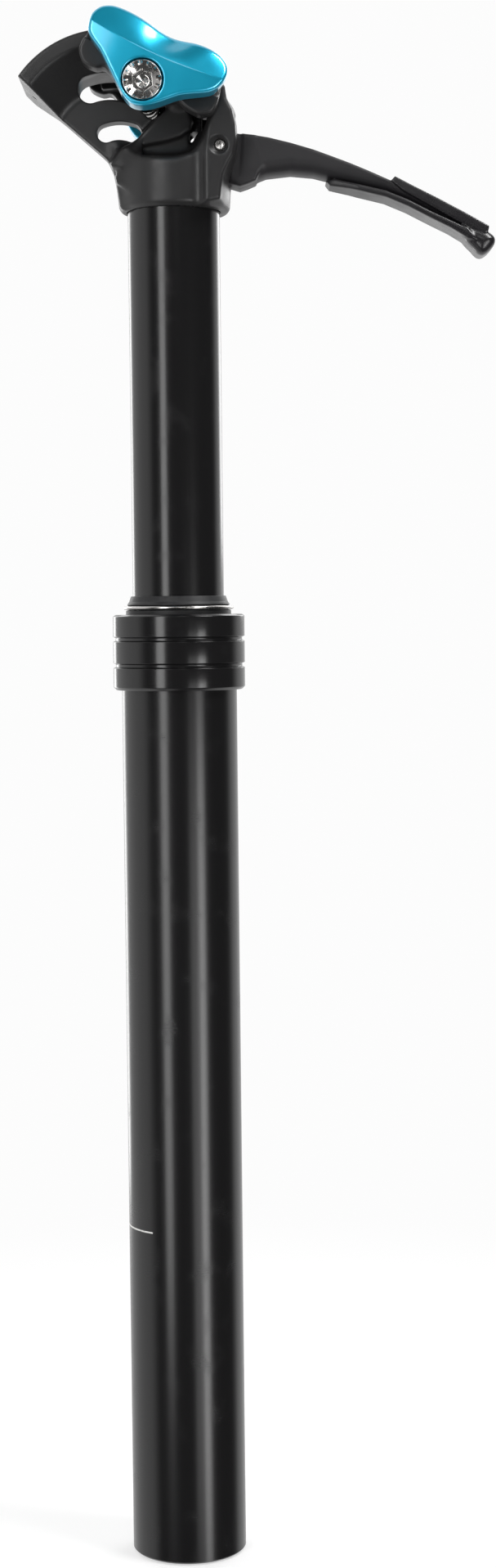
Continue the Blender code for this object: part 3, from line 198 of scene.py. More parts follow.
def surface_net(field, low, high, step):
    """Points and quads on the zero surface of a field, on a grid of cubes."""
    axes = [np.arange(low[k], high[k] + step, step) for k in range(3)]
    x, y, z = np.meshgrid(*axes, indexing="ij", sparse=True)
    values = np.array(np.broadcast_to(field(x, y, z), [len(a) for a in axes]))
    inside = values < 0
    cells = [n - 1 for n in inside.shape]
    corners = [(i, j, k) for i in (0, 1) for j in (0, 1) for k in (0, 1)]
    filled = sum(inside[i:i + cells[0], j:j + cells[1], k:k + cells[2]].astype(np.int8)
                 for i, j, k in corners)
    active = np.argwhere((filled > 0) & (filled < 8))
    number = np.full(cells, -1)
    number[tuple(active.T)] = np.arange(len(active))

    total = np.zeros((len(active), 3))
    count = np.zeros(len(active))
    for corner in corners:
        for axis in range(3):
            if corner[axis]:
                continue
            other = list(corner)
            other[axis] = 1
            f0 = values[tuple((active + corner).T)]
            f1 = values[tuple((active + other).T)]
            crossed = (f0 < 0) != (f1 < 0)
            point = np.tile(np.array(corner, float), (len(active), 1))
            point[:, axis] = np.where(crossed, f0 / np.where(crossed, f0 - f1, 1.0), 0.0)
            total += point * crossed[:, None]
            count += crossed
    points = np.array(low) + (active + total / count[:, None]) * step

    quads = []
    for axis in range(3):
        b, c = (axis + 1) % 3, (axis + 2) % 3
        near = inside[tuple(slice(0, -1) if k == axis else slice(None) for k in range(3))]
        far = inside[tuple(slice(1, None) if k == axis else slice(None) for k in range(3))]
        spots = np.argwhere(near != far)
        kept = (spots[:, b] > 0) & (spots[:, c] > 0) & (spots[:, b] < cells[b]) & (spots[:, c] < cells[c])
        spots = spots[kept]
        back_b, back_c = np.eye(3, dtype=int)[b], np.eye(3, dtype=int)[c]
        around = (spots - back_b - back_c, spots - back_c, spots, spots - back_b)
        ring = [number[tuple(spot.T)] for spot in around]
        ring = np.stack(ring, axis=1)
        outward = near[tuple(spots.T)]
        quads.append(np.where(outward[:, None], ring, ring[:, ::-1]))
    return points, np.concatenate(quads)


def settled(points, field, step):
    """The points moved onto the zero surface along the field's slope."""
    small = 0.01
    rounds = 4
    for _ in range(rounds):
        value = field(*points.T)
        slope = []
        for axis in range(3):
            shift = np.zeros(3)
            shift[axis] = small
            slope.append((field(*(points + shift).T) - field(*(points - shift).T)) / (2 * small))
        slope = np.stack(slope, axis=1)
        steepness = np.maximum((slope ** 2).sum(axis=1), 0.05)
        move = np.clip(value / steepness, -step / 2, step / 2)
        points = points - slope * move[:, None]
    return points


def carve(name, field, low, high, step, origin=(0.0, 0.0, 0.0), tilt=0.0):
    """A mesh object from a distance field in millimetres, placed in metres."""
    low = [edge - 2 * step for edge in low]
    high = [edge + 2 * step for edge in high]
    points, quads = surface_net(field, low, high, step)
    points = settled(points, field, step)
    mesh = bpy.data.meshes.new(name)
    mesh.from_pydata((points * MM).tolist(), [], quads.tolist())
    mesh.transform(Matrix.Translation(origin) @ Matrix.Rotation(tilt, 4, "Y"))
    mesh.shade_smooth()
    return placed(name, mesh)


def placed(name, mesh):
    """A new object at the origin for a mesh."""
    piece = bpy.data.objects.new(name, mesh)
    bpy.context.scene.collection.objects.link(piece)
    return piece


def turned(name, profile, sides=TUBE_SIDES, closed=True, place=None):
    """A piece turned about the post's axis from (radius, height) pairs in millimetres,
    or about another axis where a placing matrix is given."""
    mesh = bpy.data.meshes.new(name)
    bm = bmesh.new()
    rings = []
    for radius, height in profile:
        if radius == 0.0:
            rings.append([bm.verts.new((0.0, 0.0, height * MM))])
            continue
        ring = []
        for i in range(sides):
            angle = 2 * math.pi * i / sides
            ring.append(bm.verts.new((radius * MM * math.cos(angle), radius * MM * math.sin(angle),
                                      height * MM)))
        rings.append(ring)
    pairs = list(zip(rings, rings[1:]))
    if closed:
        pairs.append((rings[-1], rings[0]))
    for ring, above in pairs:
        for i in range(max(len(ring), len(above))):
            j = (i + 1) % sides
            if len(ring) == 1:
                bm.faces.new((ring[0], above[j], above[i]))
            elif len(above) == 1:
                bm.faces.new((ring[i], ring[j], above[0]))
            else:
                bm.faces.new((ring[i], ring[j], above[j], above[i]))
    bmesh.ops.recalc_face_normals(bm, faces=bm.faces)
    for face in bm.faces:
        face.smooth = True
    for edge in bm.edges:
        edge.smooth = edge.calc_face_angle(0.0) < math.radians(35)
    bm.transform(place or Matrix.Identity(4))
    bm.to_mesh(mesh)
    bm.free()
    return placed(name, mesh)


def rounded(profile, corners, steps=5):
    """A profile with some of its corners rounded; corners maps an index to a radius."""
    points = []
    count = len(profile)
    for i, point in enumerate(profile):
        if i not in corners:
            points.append(tuple(point))
            continue
        here = Vector(point)
        back = (Vector(profile[i - 1]) - here).normalized()
        ahead = (Vector(profile[(i + 1) % count]) - here).normalized()
        half = back.angle(ahead) / 2
        reach = corners[i] / math.tan(half)
        centre = here + (back + ahead).normalized() * corners[i] / math.sin(half)
        start = here + back * reach - centre
        end = here + ahead * reach - centre
        swing = start.angle_signed(end)
        for s in range(steps + 1):
            arm = start.copy()
            arm.rotate(Matrix.Rotation(-swing * s / steps, 2))
            points.append(tuple(centre + arm))
    return points


def arc(centre, radius, start, end, steps=12):
    """Points along an arc; angles in degrees."""
    points = []
    for i in range(steps + 1):
        angle = math.radians(start + (end - start) * i / steps)
        points.append((centre[0] + radius * math.cos(angle), centre[1] + radius * math.sin(angle)))
    return points


# ---- Putting pieces into the frame ----------------------------------------------------

BODY_OF = {node: body for body, nodes in frame["record"]["behaviour"]["bodies"].items()
           for node in nodes}


def fit(piece, node, finish):
    """Give a piece its finish and let it stand for a CAD node."""
    piece.data.materials.clear()
    piece.data.materials.append(finish)
    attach(piece, BODY_OF[node])
    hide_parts(node)
    return piece


def baked(piece):
    """Apply a piece's modifiers."""
    mesh = bpy.data.meshes.new_from_object(piece.evaluated_get(bpy.context.evaluated_depsgraph_get()))
    piece.modifiers.clear()
    piece.data = mesh
    return piece


def notched(piece, boxes):
    """Cut boxes, given as (low corner, high corner, turn about Z), out of a piece."""
    tools = []
    for low, high, turn in boxes:
        mesh = bpy.data.meshes.new("notch_tool")
        bm = bmesh.new()
        bmesh.ops.create_cube(bm, size=1.0)
        size = [(b - a) * MM for a, b in zip(low, high)]
        middle = [(a + b) / 2 * MM for a, b in zip(low, high)]
        place = Matrix.Rotation(turn, 4, "Z") @ Matrix.Translation(middle) @ Matrix.Diagonal((*size, 1.0))
        bm.transform(place)
        bm.to_mesh(mesh)
        bm.free()
        tool = placed("notch_tool", mesh)
        tools.append(tool)
        cutter = piece.modifiers.new("notch", "BOOLEAN")
        cutter.operation = "DIFFERENCE"
        cutter.solver = "EXACT"
        cutter.object = tool
    baked(piece)
    for tool in tools:
        bpy.data.objects.remove(tool, do_unlink=True)
    return piece


def refined(node, finish, bevel=0.12):
    """A copy of a CAD node with its vertices merged and its edges slightly rounded."""
    mesh = frame["nodes"][node].data.copy()
    bm = bmesh.new()
    bm.from_mesh(mesh)
    bmesh.ops.remove_doubles(bm, verts=bm.verts, dist=1e-6)
    bmesh.ops.dissolve_limit(bm, angle_limit=math.radians(0.5), verts=bm.verts, edges=bm.edges)
    for face in bm.faces:
        face.smooth = True
    bm.to_mesh(mesh)
    bm.free()
    piece = placed(f"fine_{node}", mesh)
    rounding = piece.modifiers.new("rounding", "BEVEL")
    rounding.width = bevel * MM
    rounding.segments = 2
    rounding.limit_method = "ANGLE"
    rounding.angle_limit = math.radians(40)
    rounding.harden_normals = True
    baked(piece)
    return fit(piece, node, finish)


# ---- Shader maths -----------------------------------------------------------------------

class Link:
    """An output socket. Sums and products of links add their Math nodes."""

    def __init__(self, home, socket):
        self.home = home
        self.socket = socket

    def maths(self, operation, first, second=0.0):
        return self.home.maths_of(operation, first, second)

    def __add__(self, other):
        return self.maths("ADD", self, other)

    def __sub__(self, other):
        return self.maths("SUBTRACT", self, other)

    def __rsub__(self, other):
        return self.maths("SUBTRACT", other, self)

    def __mul__(self, other):
        return self.maths("MULTIPLY", self, other)

    def __lt__(self, other):
        return self.maths("LESS_THAN", self, other)

    __radd__ = __add__
    __rmul__ = __mul__

    def size(self):
        return self.maths("ABSOLUTE", self)

    def ramp(self, low, high):
        """0 below the low value, 1 above the high one, smooth between."""
        return self.home.node("ShaderNodeMapRange", {"interpolation_type": "SMOOTHSTEP"},
                                {"Value": self, "From Min": low, "From Max": high})


class Tree:
    """A node tree under construction."""

    def __init__(self, tree):
        self.tree = tree

    def node(self, kind, settings=None, values=None, output=0):
        """Add any node: its settings first, then the values or links of its sockets."""
        node = self.tree.nodes.new(kind)
        for key, value in (settings or {}).items():
            setattr(node, key, value)
        for key, value in (values or {}).items():
            self.feed(node.inputs[key], value)
        return Link(self, node.outputs[output] if node.outputs else None)

    def feed(self, entry, value):
        if isinstance(value, Link):
            self.tree.links.new(value.socket, entry)
        else:
            entry.default_value = value

    def maths_of(self, operation, first, second=0.0):
        return self.node("ShaderNodeMath", {"operation": operation}, {0: first, 1: second})


class Finish(Tree):
    """A material's nodes. Lengths on the piece are in millimetres."""

    def __init__(self, name, **constants):
        self.material = bpy.data.materials.new(name)
        self.material.use_nodes = True
        super().__init__(self.material.node_tree)
        self.shader = self.tree.nodes["Principled BSDF"]
        for socket, value in constants.items():
            self.shader.inputs[socket.replace("_", " ")].default_value = value
        self.coordinates = self.node("ShaderNodeTexCoord", output="Object")

    def give(self, **links):
        """Feed the shader's sockets, named with underscores for spaces."""
        for name, value in links.items():
            self.feed(self.shader.inputs[name.replace("_", " ")], value)
        return self

    def stretched(self, x, y, z):
        """The piece's coordinates in millimetres times a factor for each axis."""
        return self.node("ShaderNodeMapping", None, {
            "Vector": self.coordinates, "Scale": (x / MM, y / MM, z / MM)})

    def axes(self):
        """The piece's x, y and z in millimetres."""
        split = self.node("ShaderNodeSeparateXYZ", None, {"Vector": self.stretched(1, 1, 1)})
        return [Link(self, split.socket.node.outputs[k]) for k in range(3)]

    def noise(self, scale=1.0, detail=3.0, vector=None):
        """Noise about 0.5; scale is in features per millimetre."""
        return self.node("ShaderNodeTexNoise", None, {
            "Vector": vector or self.stretched(1, 1, 1), "Scale": scale, "Detail": detail})

    def shades(self, amount, dark, light):
        """A colour between two, by an amount from 0 to 1."""
        mix = self.node("ShaderNodeMix", {"data_type": "RGBA"}, {
            "Factor": amount, 6: (*dark, 1.0), 7: (*light, 1.0)}, output=2)
        return mix

    def bump(self, height, depth, strength=1.0):
        """Feed the normal from a height; depth in millimetres."""
        normal = self.node("ShaderNodeBump", None, {
            "Height": height, "Distance": depth * MM, "Strength": strength})
        return self.give(Normal=normal)


# ---- Finishes -----------------------------------------------------------------------------

def black_tube(name, shade, roughness, turn_pitch, specular=0.5):
    """Anodised tube: rings left by turning, faint handling marks."""
    finish = Finish(name, Specular_IOR_Level=specular)
    rings = finish.noise(1.0, 4.0, finish.stretched(0.02, 0.02, turn_pitch))
    marks = finish.noise(0.12, 5.0).ramp(0.56, 0.7)
    drawn = finish.noise(1.0, 2.0, finish.stretched(1.4, 1.4, 0.02))
    base = tuple(shade * c for c in (1.0, 0.97, 1.02))
    finish.give(Base_Color=finish.shades(marks * 0.6 + drawn * 0.4, base, tuple(1.5 * c for c in base)),
                Roughness=roughness + rings * 0.05 + marks * 0.05)
    return finish.bump(rings * 0.7 + drawn * 0.3, 0.004, 0.6)


def outer_tube_finish():
    """The outer tube also carries a thin white line that marks its least insertion."""
    finish = black_tube("outer_tube_black", 0.0045, 0.2, 3.0)
    x, _, z = finish.axes()
    line_height, half_thickness, half_sweep = 92.0, 0.22, math.radians(56)
    line = ((z - line_height).size() < half_thickness) * (x < -OUTER_RADIUS * math.cos(half_sweep))
    wear = finish.noise(2.5, 3.0).ramp(0.3, 0.42)
    paint = line * wear
    under = finish.shader.inputs["Base Color"].links[0].from_socket
    colour = finish.node("ShaderNodeMix", {"data_type": "RGBA"}, {
        "Factor": paint, 6: Link(finish, under), 7: (0.62, 0.62, 0.6, 1.0)}, output=2)
    return finish.give(Base_Color=colour).material


def cast_black(name, shade, roughness, grain=9.0):
    """Blasted and anodised aluminium: fine even grain, rubbed a little smoother in places."""
    finish = Finish(name, Specular_IOR_Level=0.5)
    fine = finish.noise(grain, 2.0)
    rubbed = finish.noise(0.16, 4.0).ramp(0.45, 0.7)
    base = tuple(shade * c for c in (1.0, 0.97, 1.0))
    finish.give(Base_Color=finish.shades(fine * 0.5 + rubbed * 0.5, base, tuple(1.7 * c for c in base)),
                Roughness=roughness + fine * 0.1 - rubbed * 0.09)
    return finish.bump(fine, 0.02, 0.45).material


def lever_finish():
    """Satin black at the root, and smoother towards the tip, where fingers rub it."""
    finish = Finish("lever_black", Specular_IOR_Level=0.55)
    x, _, _ = finish.axes()
    fine = finish.noise(10.0, 2.0)
    rubbed = x.ramp(40.0, 78.0)
    smears = finish.noise(0.2, 4.0).ramp(0.4, 0.7)
    finish.give(Base_Color=finish.shades(fine * 0.6 + rubbed * 0.2, (0.006, 0.0055, 0.0065),
                                         (0.013, 0.012, 0.014)),
                Roughness=0.46 - rubbed * 0.22 + smears * 0.05)
    return finish.bump(fine, 0.014, 0.4).material


def anodised_teal():
    """Bright-dipped and dyed clamp plate under its clear sealed skin."""
    finish = Finish("clamp_plate_teal", Metallic=0.7, Coat_Weight=1.0, Coat_IOR=1.7,
                    Coat_Roughness=0.12)
    cloud = finish.noise(0.25, 4.0)
    fine = finish.noise(7.0, 2.0)
    finish.give(Base_Color=finish.shades(cloud * 0.5 + fine * 0.2, (0.0, 0.36, 0.56),
                                         (0.008, 0.46, 0.68)),
                Roughness=0.27 + cloud * 0.06 + fine * 0.04)
    return finish.bump(fine, 0.006, 0.4).material


def polished_steel(name, shade=0.62, roughness=0.16):
    """Bright steel with short scratches."""
    finish = Finish(name, Metallic=1.0)
    scratches = finish.noise(2.2, 6.0, finish.stretched(1.0, 6.0, 1.0)).ramp(0.52, 0.66)
    stain = finish.noise(0.5, 3.0)
    base = tuple(shade * c for c in (1.0, 0.975, 0.95))
    finish.give(Base_Color=finish.shades(stain, tuple(0.86 * c for c in base), base),
                Roughness=roughness + scratches * 0.12)
    return finish.bump(scratches, 0.004, 0.5).material


def wiper_rubber():
    """Soft moulded rubber with a dull bloom."""
    finish = Finish("wiper_rubber", Specular_IOR_Level=0.4)
    grain = finish.noise(6.0, 3.0)
    bloom = finish.noise(0.3, 4.0).ramp(0.4, 0.75)
    finish.give(Base_Color=finish.shades(bloom, (0.008, 0.008, 0.009), (0.02, 0.02, 0.021)),
                Roughness=0.42 + grain * 0.1 + bloom * 0.06)
    return finish.bump(grain, 0.012, 0.5).material


def machined_metal(name, base, roughness, metallic=1.0):
    """Plain turned metal or plastic of an inner part, with its tool marks."""
    finish = Finish(name, Metallic=metallic)
    rings = finish.noise(1.0, 3.0, finish.stretched(0.05, 0.05, 5.0))
    cloud = finish.noise(0.4, 3.0)
    finish.give(Base_Color=finish.shades(cloud, tuple(0.85 * c for c in base), base),
                Roughness=roughness + rings * 0.08)
    return finish.bump(rings, 0.006, 0.5).material


# ---- Post -----------------------------------------------------------------------------------

def build_outer_tube():
    """Outer tube with its inner keyways and the groove for the base ring."""
    bore = OUTER_RADIUS - TUBE_WALL
    groove = bore + 0.8
    key_width, key_depth, key_margin = 3.7, 0.85, 24.0
    profile = [(bore + 0.4, 0.0), (OUTER_RADIUS - 0.5, 0.0), (OUTER_RADIUS, 0.5),
               (OUTER_RADIUS, OUTER_LENGTH - 0.5), (OUTER_RADIUS - 0.5, OUTER_LENGTH),
               (bore + 0.4, OUTER_LENGTH), (bore, OUTER_LENGTH - 0.4),
               (bore, 3.0), (groove, 3.0), (groove, 1.4), (bore, 1.4), (bore, 0.4)]
    tube = turned("fine_outer_tube", profile)
    keyways = []
    for turn in KEY_TURNS:
        low = (bore - 2.0, -key_width / 2, key_margin)
        high = (bore + key_depth, key_width / 2, OUTER_LENGTH - 2 * key_margin)
        keyways.append((low, high, turn))
    return fit(notched(tube, keyways), "outer_tube", outer_tube_finish())


def build_stanchion():
    """Inner tube with a stepped foot and the slots for its guide keys."""
    bore = STANCHION_RADIUS - STANCHION_WALL
    step = STANCHION_LOW + 6.6
    tube = turned("fine_stanchion", [
        (bore, STANCHION_LOW), (STANCHION_RADIUS - 0.7, STANCHION_LOW),
        (STANCHION_RADIUS - 0.5, STANCHION_LOW + 0.2), (STANCHION_RADIUS - 0.5, step),
        (STANCHION_RADIUS - 0.15, step), (STANCHION_RADIUS, step + 0.15),
        (STANCHION_RADIUS, STANCHION_HIGH - 0.3), (STANCHION_RADIUS - 0.3, STANCHION_HIGH),
        (bore, STANCHION_HIGH)])
    slots = []
    for turn in KEY_TURNS:
        slots.append(((STANCHION_RADIUS - 1.2, -2.0, step + 1.7),
                      (STANCHION_RADIUS + 2.0, 2.0, step + 18.3), turn))
    finish = black_tube("stanchion_black", 0.005, 0.17, 5.0)
    return fit(notched(tube, slots), "stanchion", finish.material)


def build_collar():
    """Screwed collar with two turned grooves and softened rims."""
    bore = OUTER_RADIUS + GAP
    lip = SEAL_RADIUS + 0.3
    step = OUTER_LENGTH + 0.3
    profile = [(bore, COLLAR_LOW), (COLLAR_RADIUS - 0.8, COLLAR_LOW), (COLLAR_RADIUS, COLLAR_LOW + 0.8)]
    soft = {1: 0.25, 2: 0.4}
    for groove_height in (6.7, 13.9):
        low = COLLAR_LOW + groove_height - 0.7
        soft.update({len(profile) + k: 0.16 for k in (0, 1, 2, 3)})
        profile += [(COLLAR_RADIUS, low), (COLLAR_RADIUS - 0.7, low + 0.35),
                    (COLLAR_RADIUS - 0.7, low + 1.05), (COLLAR_RADIUS, low + 1.4)]
    soft.update({len(profile): 0.3, len(profile) + 1: 0.3})
    profile += [(COLLAR_RADIUS, COLLAR_HIGH - 0.5), (COLLAR_RADIUS - 0.7, COLLAR_HIGH),
                (lip, COLLAR_HIGH), (lip, step), (bore, step)]
    ring = COLLAR_LOW + 3.0
    profile += [(bore, ring + 0.8), (bore + 0.9, ring + 0.8), (bore + 0.9, ring - 0.8), (bore, ring - 0.8)]
    collar = turned("fine_collar", rounded(profile, soft))
    finish = black_tube("collar_black", 0.0055, 0.15, 4.0)
    return fit(collar, "collar", finish.material)


def build_wiper():
    """Moulded wiper: cone, groove with its ring of wire, and a thin wiping lip."""
    bore = STANCHION_RADIUS + GAP
    low = in_mm(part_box("wiper_seal")[0].z)
    middle = (RING_LOW + RING_HIGH) / 2
    wire = (RING_HIGH - RING_LOW) / 2
    groove = SEAL_RADIUS - 0.75
    profile = [(bore, low), (SEAL_RADIUS, low), (SEAL_RADIUS, middle - 0.7), (groove, middle - 0.5),
               (groove, middle + 0.5), (SEAL_RADIUS - 0.25, middle + 0.75),
               (SEAL_RADIUS - 0.9, SEAL_HIGH - 1.5), (bore + 0.4, SEAL_HIGH), (bore, SEAL_HIGH)]
    seal = turned("fine_wiper_seal", rounded(profile, {2: 0.2, 5: 0.3, 6: 0.5, 7: 0.14}))
    fit(seal, "wiper_seal", wiper_rubber())
    radius = SEAL_RADIUS + 0.3
    ring = turned("fine_wiper_ring", arc((radius, middle), wire, 0, 337.5, 15))
    fit(ring, "wiper_spring_ring", polished_steel("wiper_ring_steel", 0.6, 0.2))


# ---- Head ---------------------------------------------------------------------------------------

def head_profile():
    """Side view of the head: web, arc for the clamp, and the lever's fork in front."""
    ear = [(1.7, 12.2), (3.2, 9.4), (4.1, 5.8), (4.3, 1.6), (3.5, -2.4), (1.6, -5.6)]
    points = [(-12.6, 2.0), (-13.9, 6.5), (-15.3, 10.5), REAR_LOW, REAR_HIGH]
    points += arc((ARC_X, ARC_Z), ARC_RADIUS, 144, 52, 28)
    points += [(8.6, 36.8), (12.8, 33.8), (14.4, 31.2)]
    points += [(PIVOT_X + x, PIVOT_Z + z) for x, z in ear]
    return points + [(13.3, 8.0), (12.4, 2.0)]


def recess_profile():
    """Side view of the recess between the arc's flange and the socket."""
    inner = [(9.6, -10.0), (9.6, 14.0), (10.2, 18.2), (10.8, 22.4), (11.3, 25.3), (12.0, 27.6),
             (12.2, 29.4), (11.4, 30.9), (9.6, 31.6), (7.0, 31.4)]
    return inner + arc((ARC_X, ARC_Z), DISH_RADIUS, 32, 152, 36) + [(-60.0, 15.0), (-30.0, -10.0)]


BOSS_FACE = [(-17.6, 11.0), (-17.4, 12.4), (-14.1, 15.5), (-11.6, 17.7), (-7.4, 22.1), (-3.2, 26.4),
             (-1.0, 28.2), (1.8, 28.9), (4.0, 28.2), (5.4, 26.3), (6.3, 23.2), (5.6, 20.6), (2.5, 18.6),
             (-1.6, 17.4), (-7.4, 16.4), (-12.0, 13.0), (-14.0, 11.0)]
BOSS_FOOT = [(-15.0, 8.0), (-13.0, 14.0), (-6.0, 20.0), (4.6, 20.0), (5.0, 8.0)]


def head_field(x, y, z):
    """Distance to the head, in millimetres from its socket's rim on the post's axis."""
    side = np.abs(y)
    profile = outline(x, z, head_profile())
    recess = outline(x, z, recess_profile())
    depth = HEAD_HALF_WIDTH - side
    recess = recess + depth * (0.22 + 0.66 * np.clip(1 - x / 9.0, 0.0, 1.0))
    flange = meet(profile, side - HEAD_HALF_WIDTH, 1.1)
    flange = cut(flange, recess, 0.7)
    web = meet(profile, side - WEB_HALF_WIDTH, 0.9)
    body = join(flange, web, 1.2)

    face = outline(x, z, BOSS_FACE) + 0.2 * (side - WEB_HALF_WIDTH)
    boss = meet(face, side - BOSS_HALF_WIDTH, 1.0)
    foot = meet(outline(x, z, BOSS_FOOT), side - 5.6, 1.0)
    body = join(body, join(boss, foot, 1.0), 1.0)
    body = np.maximum(np.maximum(body, profile), side - HEAD_HALF_WIDTH)

    radius = np.hypot(x, y)
    top = SOCKET_TOP + np.where(x > 0, 0.045, 0.011) * x * x
    socket = meet(radius - SOCKET_RADIUS, (z - top) * 0.9, 2.2)
    socket = meet(socket, (radius - SOCKET_RADIUS + 1.3 - z) * 0.75, 0.5)
    socket = meet(socket, -z, 0.3)
    body = join(body, socket, 3.2 + 4.8 * np.clip((x - 4.0) / 6.0, 0.0, 1.0) + 2.0 * (x < -8.0))
    body = meet(body, -z, 0.3)

    bore = meet(radius - STANCHION_RADIUS - GAP, z - SOCKET_DEPTH)
    bore = join(bore, meet(radius - 6.1, z - 10.0))
    body = cut(body, bore, 0.3)
    pocket = meet(meet(side - 4.2, np.maximum(9.2 - z, z - 21.2), 0.8), np.maximum(-6.0 - x, x - 9.0), 0.8)
    fork = meet(side - 6.4, np.maximum(8.0 - x, np.maximum(10.6 - z, z - 25.5)), 0.8)
    body = cut(body, join(pocket, fork), 0.5)
    slot = round_slot(x, z, (ARC_X, ARC_Z), BOLT_ARC_RADIUS, SLOT_ANGLES, SLOT_HALF_WIDTH)
    kidney = round_slot(x, z, (-14.4, 11.7), 10.1, (69.4, 110.6), 2.45)
    body = cut(body, join(slot, kidney), 0.35)
    pin = np.hypot(x - PIVOT_X, z - PIVOT_Z)
    body = cut(body, np.minimum(pin - PIN_RADIUS - GAP, (pin - 2.3 + depth) * 0.7), 0.2)

    # Blind hole in the end of the flange, square to the straight rear edge
    run = Vector((REAR_HIGH[0] - REAR_LOW[0], REAR_HIGH[1] - REAR_LOW[1])).normalized()
    along = (x - REAR_HIGH[0]) * run.x + (z - REAR_HIGH[1]) * run.y + 1.6
    inward = (x - REAR_HIGH[0]) * run.y - (z - REAR_HIGH[1]) * run.x
    return cut(body, meet(np.hypot(along, y) - 0.75, inward - 3.0), 0.2)


def build_head():
    head = carve("fine_head", head_field, (-40.6, -14.4, 0.0), (17.6, 14.4, 47.0), 0.34,
                 (0.0, 0.0, HEAD_LOW * MM))
    return fit(head, "head", cast_black("head_black", 0.008, 0.4))


# ---- Lever ----------------------------------------------------------------------------------------

LEVER_ROOT = [(14.9, 7.2), (18.2, 6.2), (20.3, 6.9), (22.5, 7.8), (24.5, 12.0), (22.5, 19.5), (19.3, 20.1),
              (16.8, 20.4), (13.9, 20.6), (11.1, 20.1), (9.3, 18.5), (8.7, 15.9), (9.5, 13.1),
              (12.3, 11.5), (14.9, 11.0)]
LEVER_TOP = [(19.0, 20.1), (22.0, 19.9), (26.0, 19.2), (32.0, 17.7), (38.0, 15.9), (43.2, 14.0),
             (48.0, 12.2), (53.0, 10.1), (58.6, 7.6), (62.4, 6.0), (69.2, 2.3), (76.5, -1.9), (82.0, -4.9)]
LEVER_LOW = [(80.6, -7.0), (78.9, -6.2), (75.0, -4.2), (69.2, -1.5), (63.4, 1.5), (57.5, 3.9), (47.8, 6.5),
             (42.2, 8.0), (38.0, 9.1), (31.9, 9.7), (25.3, 9.0), (21.5, 7.6), (18.2, 6.2)]
PADDLE = [(41.2, 7.6), (43.5, 8.0), (47.8, 6.9), (57.5, 4.6), (63.4, 2.2), (69.2, -0.8), (75.0, -3.5),
          (79.5, -5.6), (81.5, -8.6), (79.6, -8.4), (75.0, -5.6), (69.2, -2.7), (63.4, 0.3), (57.5, 2.8),
          (47.8, 5.2), (42.4, 6.2)]
THUMB_STRIP = [(60.0, 8.4), (64.4, 6.1), (71.7, 2.4), (79.0, -1.5), (85.4, -5.1), (85.0, -6.8),
               (83.8, -7.2), (76.5, -3.6), (69.2, 0.6), (62.4, 4.4), (58.8, 7.2)]
LEVER_TIP = [(77.5, -4.0), (82.0, -5.2), (85.2, -6.2), (87.0, -7.7), (87.2, -9.2), (86.4, -10.6),
             (84.9, -12.1), (83.5, -12.7), (82.2, -12.2), (80.9, -10.8), (78.6, -8.2)]
NOSE = [(12.4, 11.9), (-2.3, 11.9), (-2.9, 12.7), (-2.5, 15.3), (1.9, 17.1), (12.4, 19.5)]


def lever_field(x, y, z):
    """Distance to the lever, in the head's measures. Its underside is a full round."""
    side = np.abs(y)
    low_x, low_z = zip(*reversed(LEVER_LOW))
    height = np.clip((z - np.interp(x, low_x, low_z)) / 4.2, 0.0, 1.0)
    arm_width = 2.0 + 4.0 * np.sqrt(1.0 - (1.0 - height) ** 2) - 0.25 * np.clip((x - 38.0) / 10.0, 0.0, 1.0)
    arm = meet(outline(x, z, LEVER_TOP + LEVER_LOW), (side - arm_width) * 0.8, 0.9)
    root = meet(outline(x, z, LEVER_ROOT), side - 6.0, 1.2)
    lever = join(arm, root, 0.6)
    paddle_width = 3.6 + 3.5 * np.sqrt(np.clip((x - 41.0) / 9.0, 0.0, 1.0))
    paddle = meet(outline(x, z, PADDLE), side - paddle_width, 0.9)
    lever = join(lever, paddle, 0.3)
    tip = meet(outline(x, z, smooth_loop(LEVER_TIP)), side - 6.8, 3.6)
    lever = join(lever, tip, 0.8)
    strip = meet(outline(x, z, THUMB_STRIP), side - 6.3, 0.4)
    lever = join(lever, strip, 0.15)
    nose = meet(outline(x, z, NOSE), side - 3.6, 0.6)
    lever = join(lever, nose, 0.8)
    return cut(lever, np.hypot(x - PIVOT_X, z - PIVOT_Z) - PIN_RADIUS - GAP, 0.2)


def build_lever():
    lever = carve("fine_lever", lever_field, (-3.0, -8.0, -13.8), (87.6, 8.0, 20.8), 0.33,
                  (0.0, 0.0, HEAD_LOW * MM))
    fit(lever, "lever", lever_finish())


# ---- Saddle clamp ---------------------------------------------------------------------------------

PLATE_EDGE = [(-18.8, 8.3), (-19.0, 10.7), (-17.9, 13.2), (-16.0, 14.6), (-13.8, 15.2), (-10.1, 15.3),
              (-6.2, 14.9), (-2.3, 14.2), (1.8, 13.9), (5.6, 14.3), (8.8, 14.8), (12.5, 14.9), (15.8, 14.4),
              (18.2, 13.1), (19.4, 11.2), (19.6, 8.8), (18.8, 6.3), (17.0, 4.2), (13.7, 2.2), (10.3, 0.1),
              (7.2, -2.8), (4.5, -5.1), (2.0, -6.4), (-0.4, -6.7), (-2.7, -5.8), (-5.4, -3.8), (-9.3, -0.6),
              (-13.2, 2.6), (-16.1, 4.3), (-18.0, 5.9)]


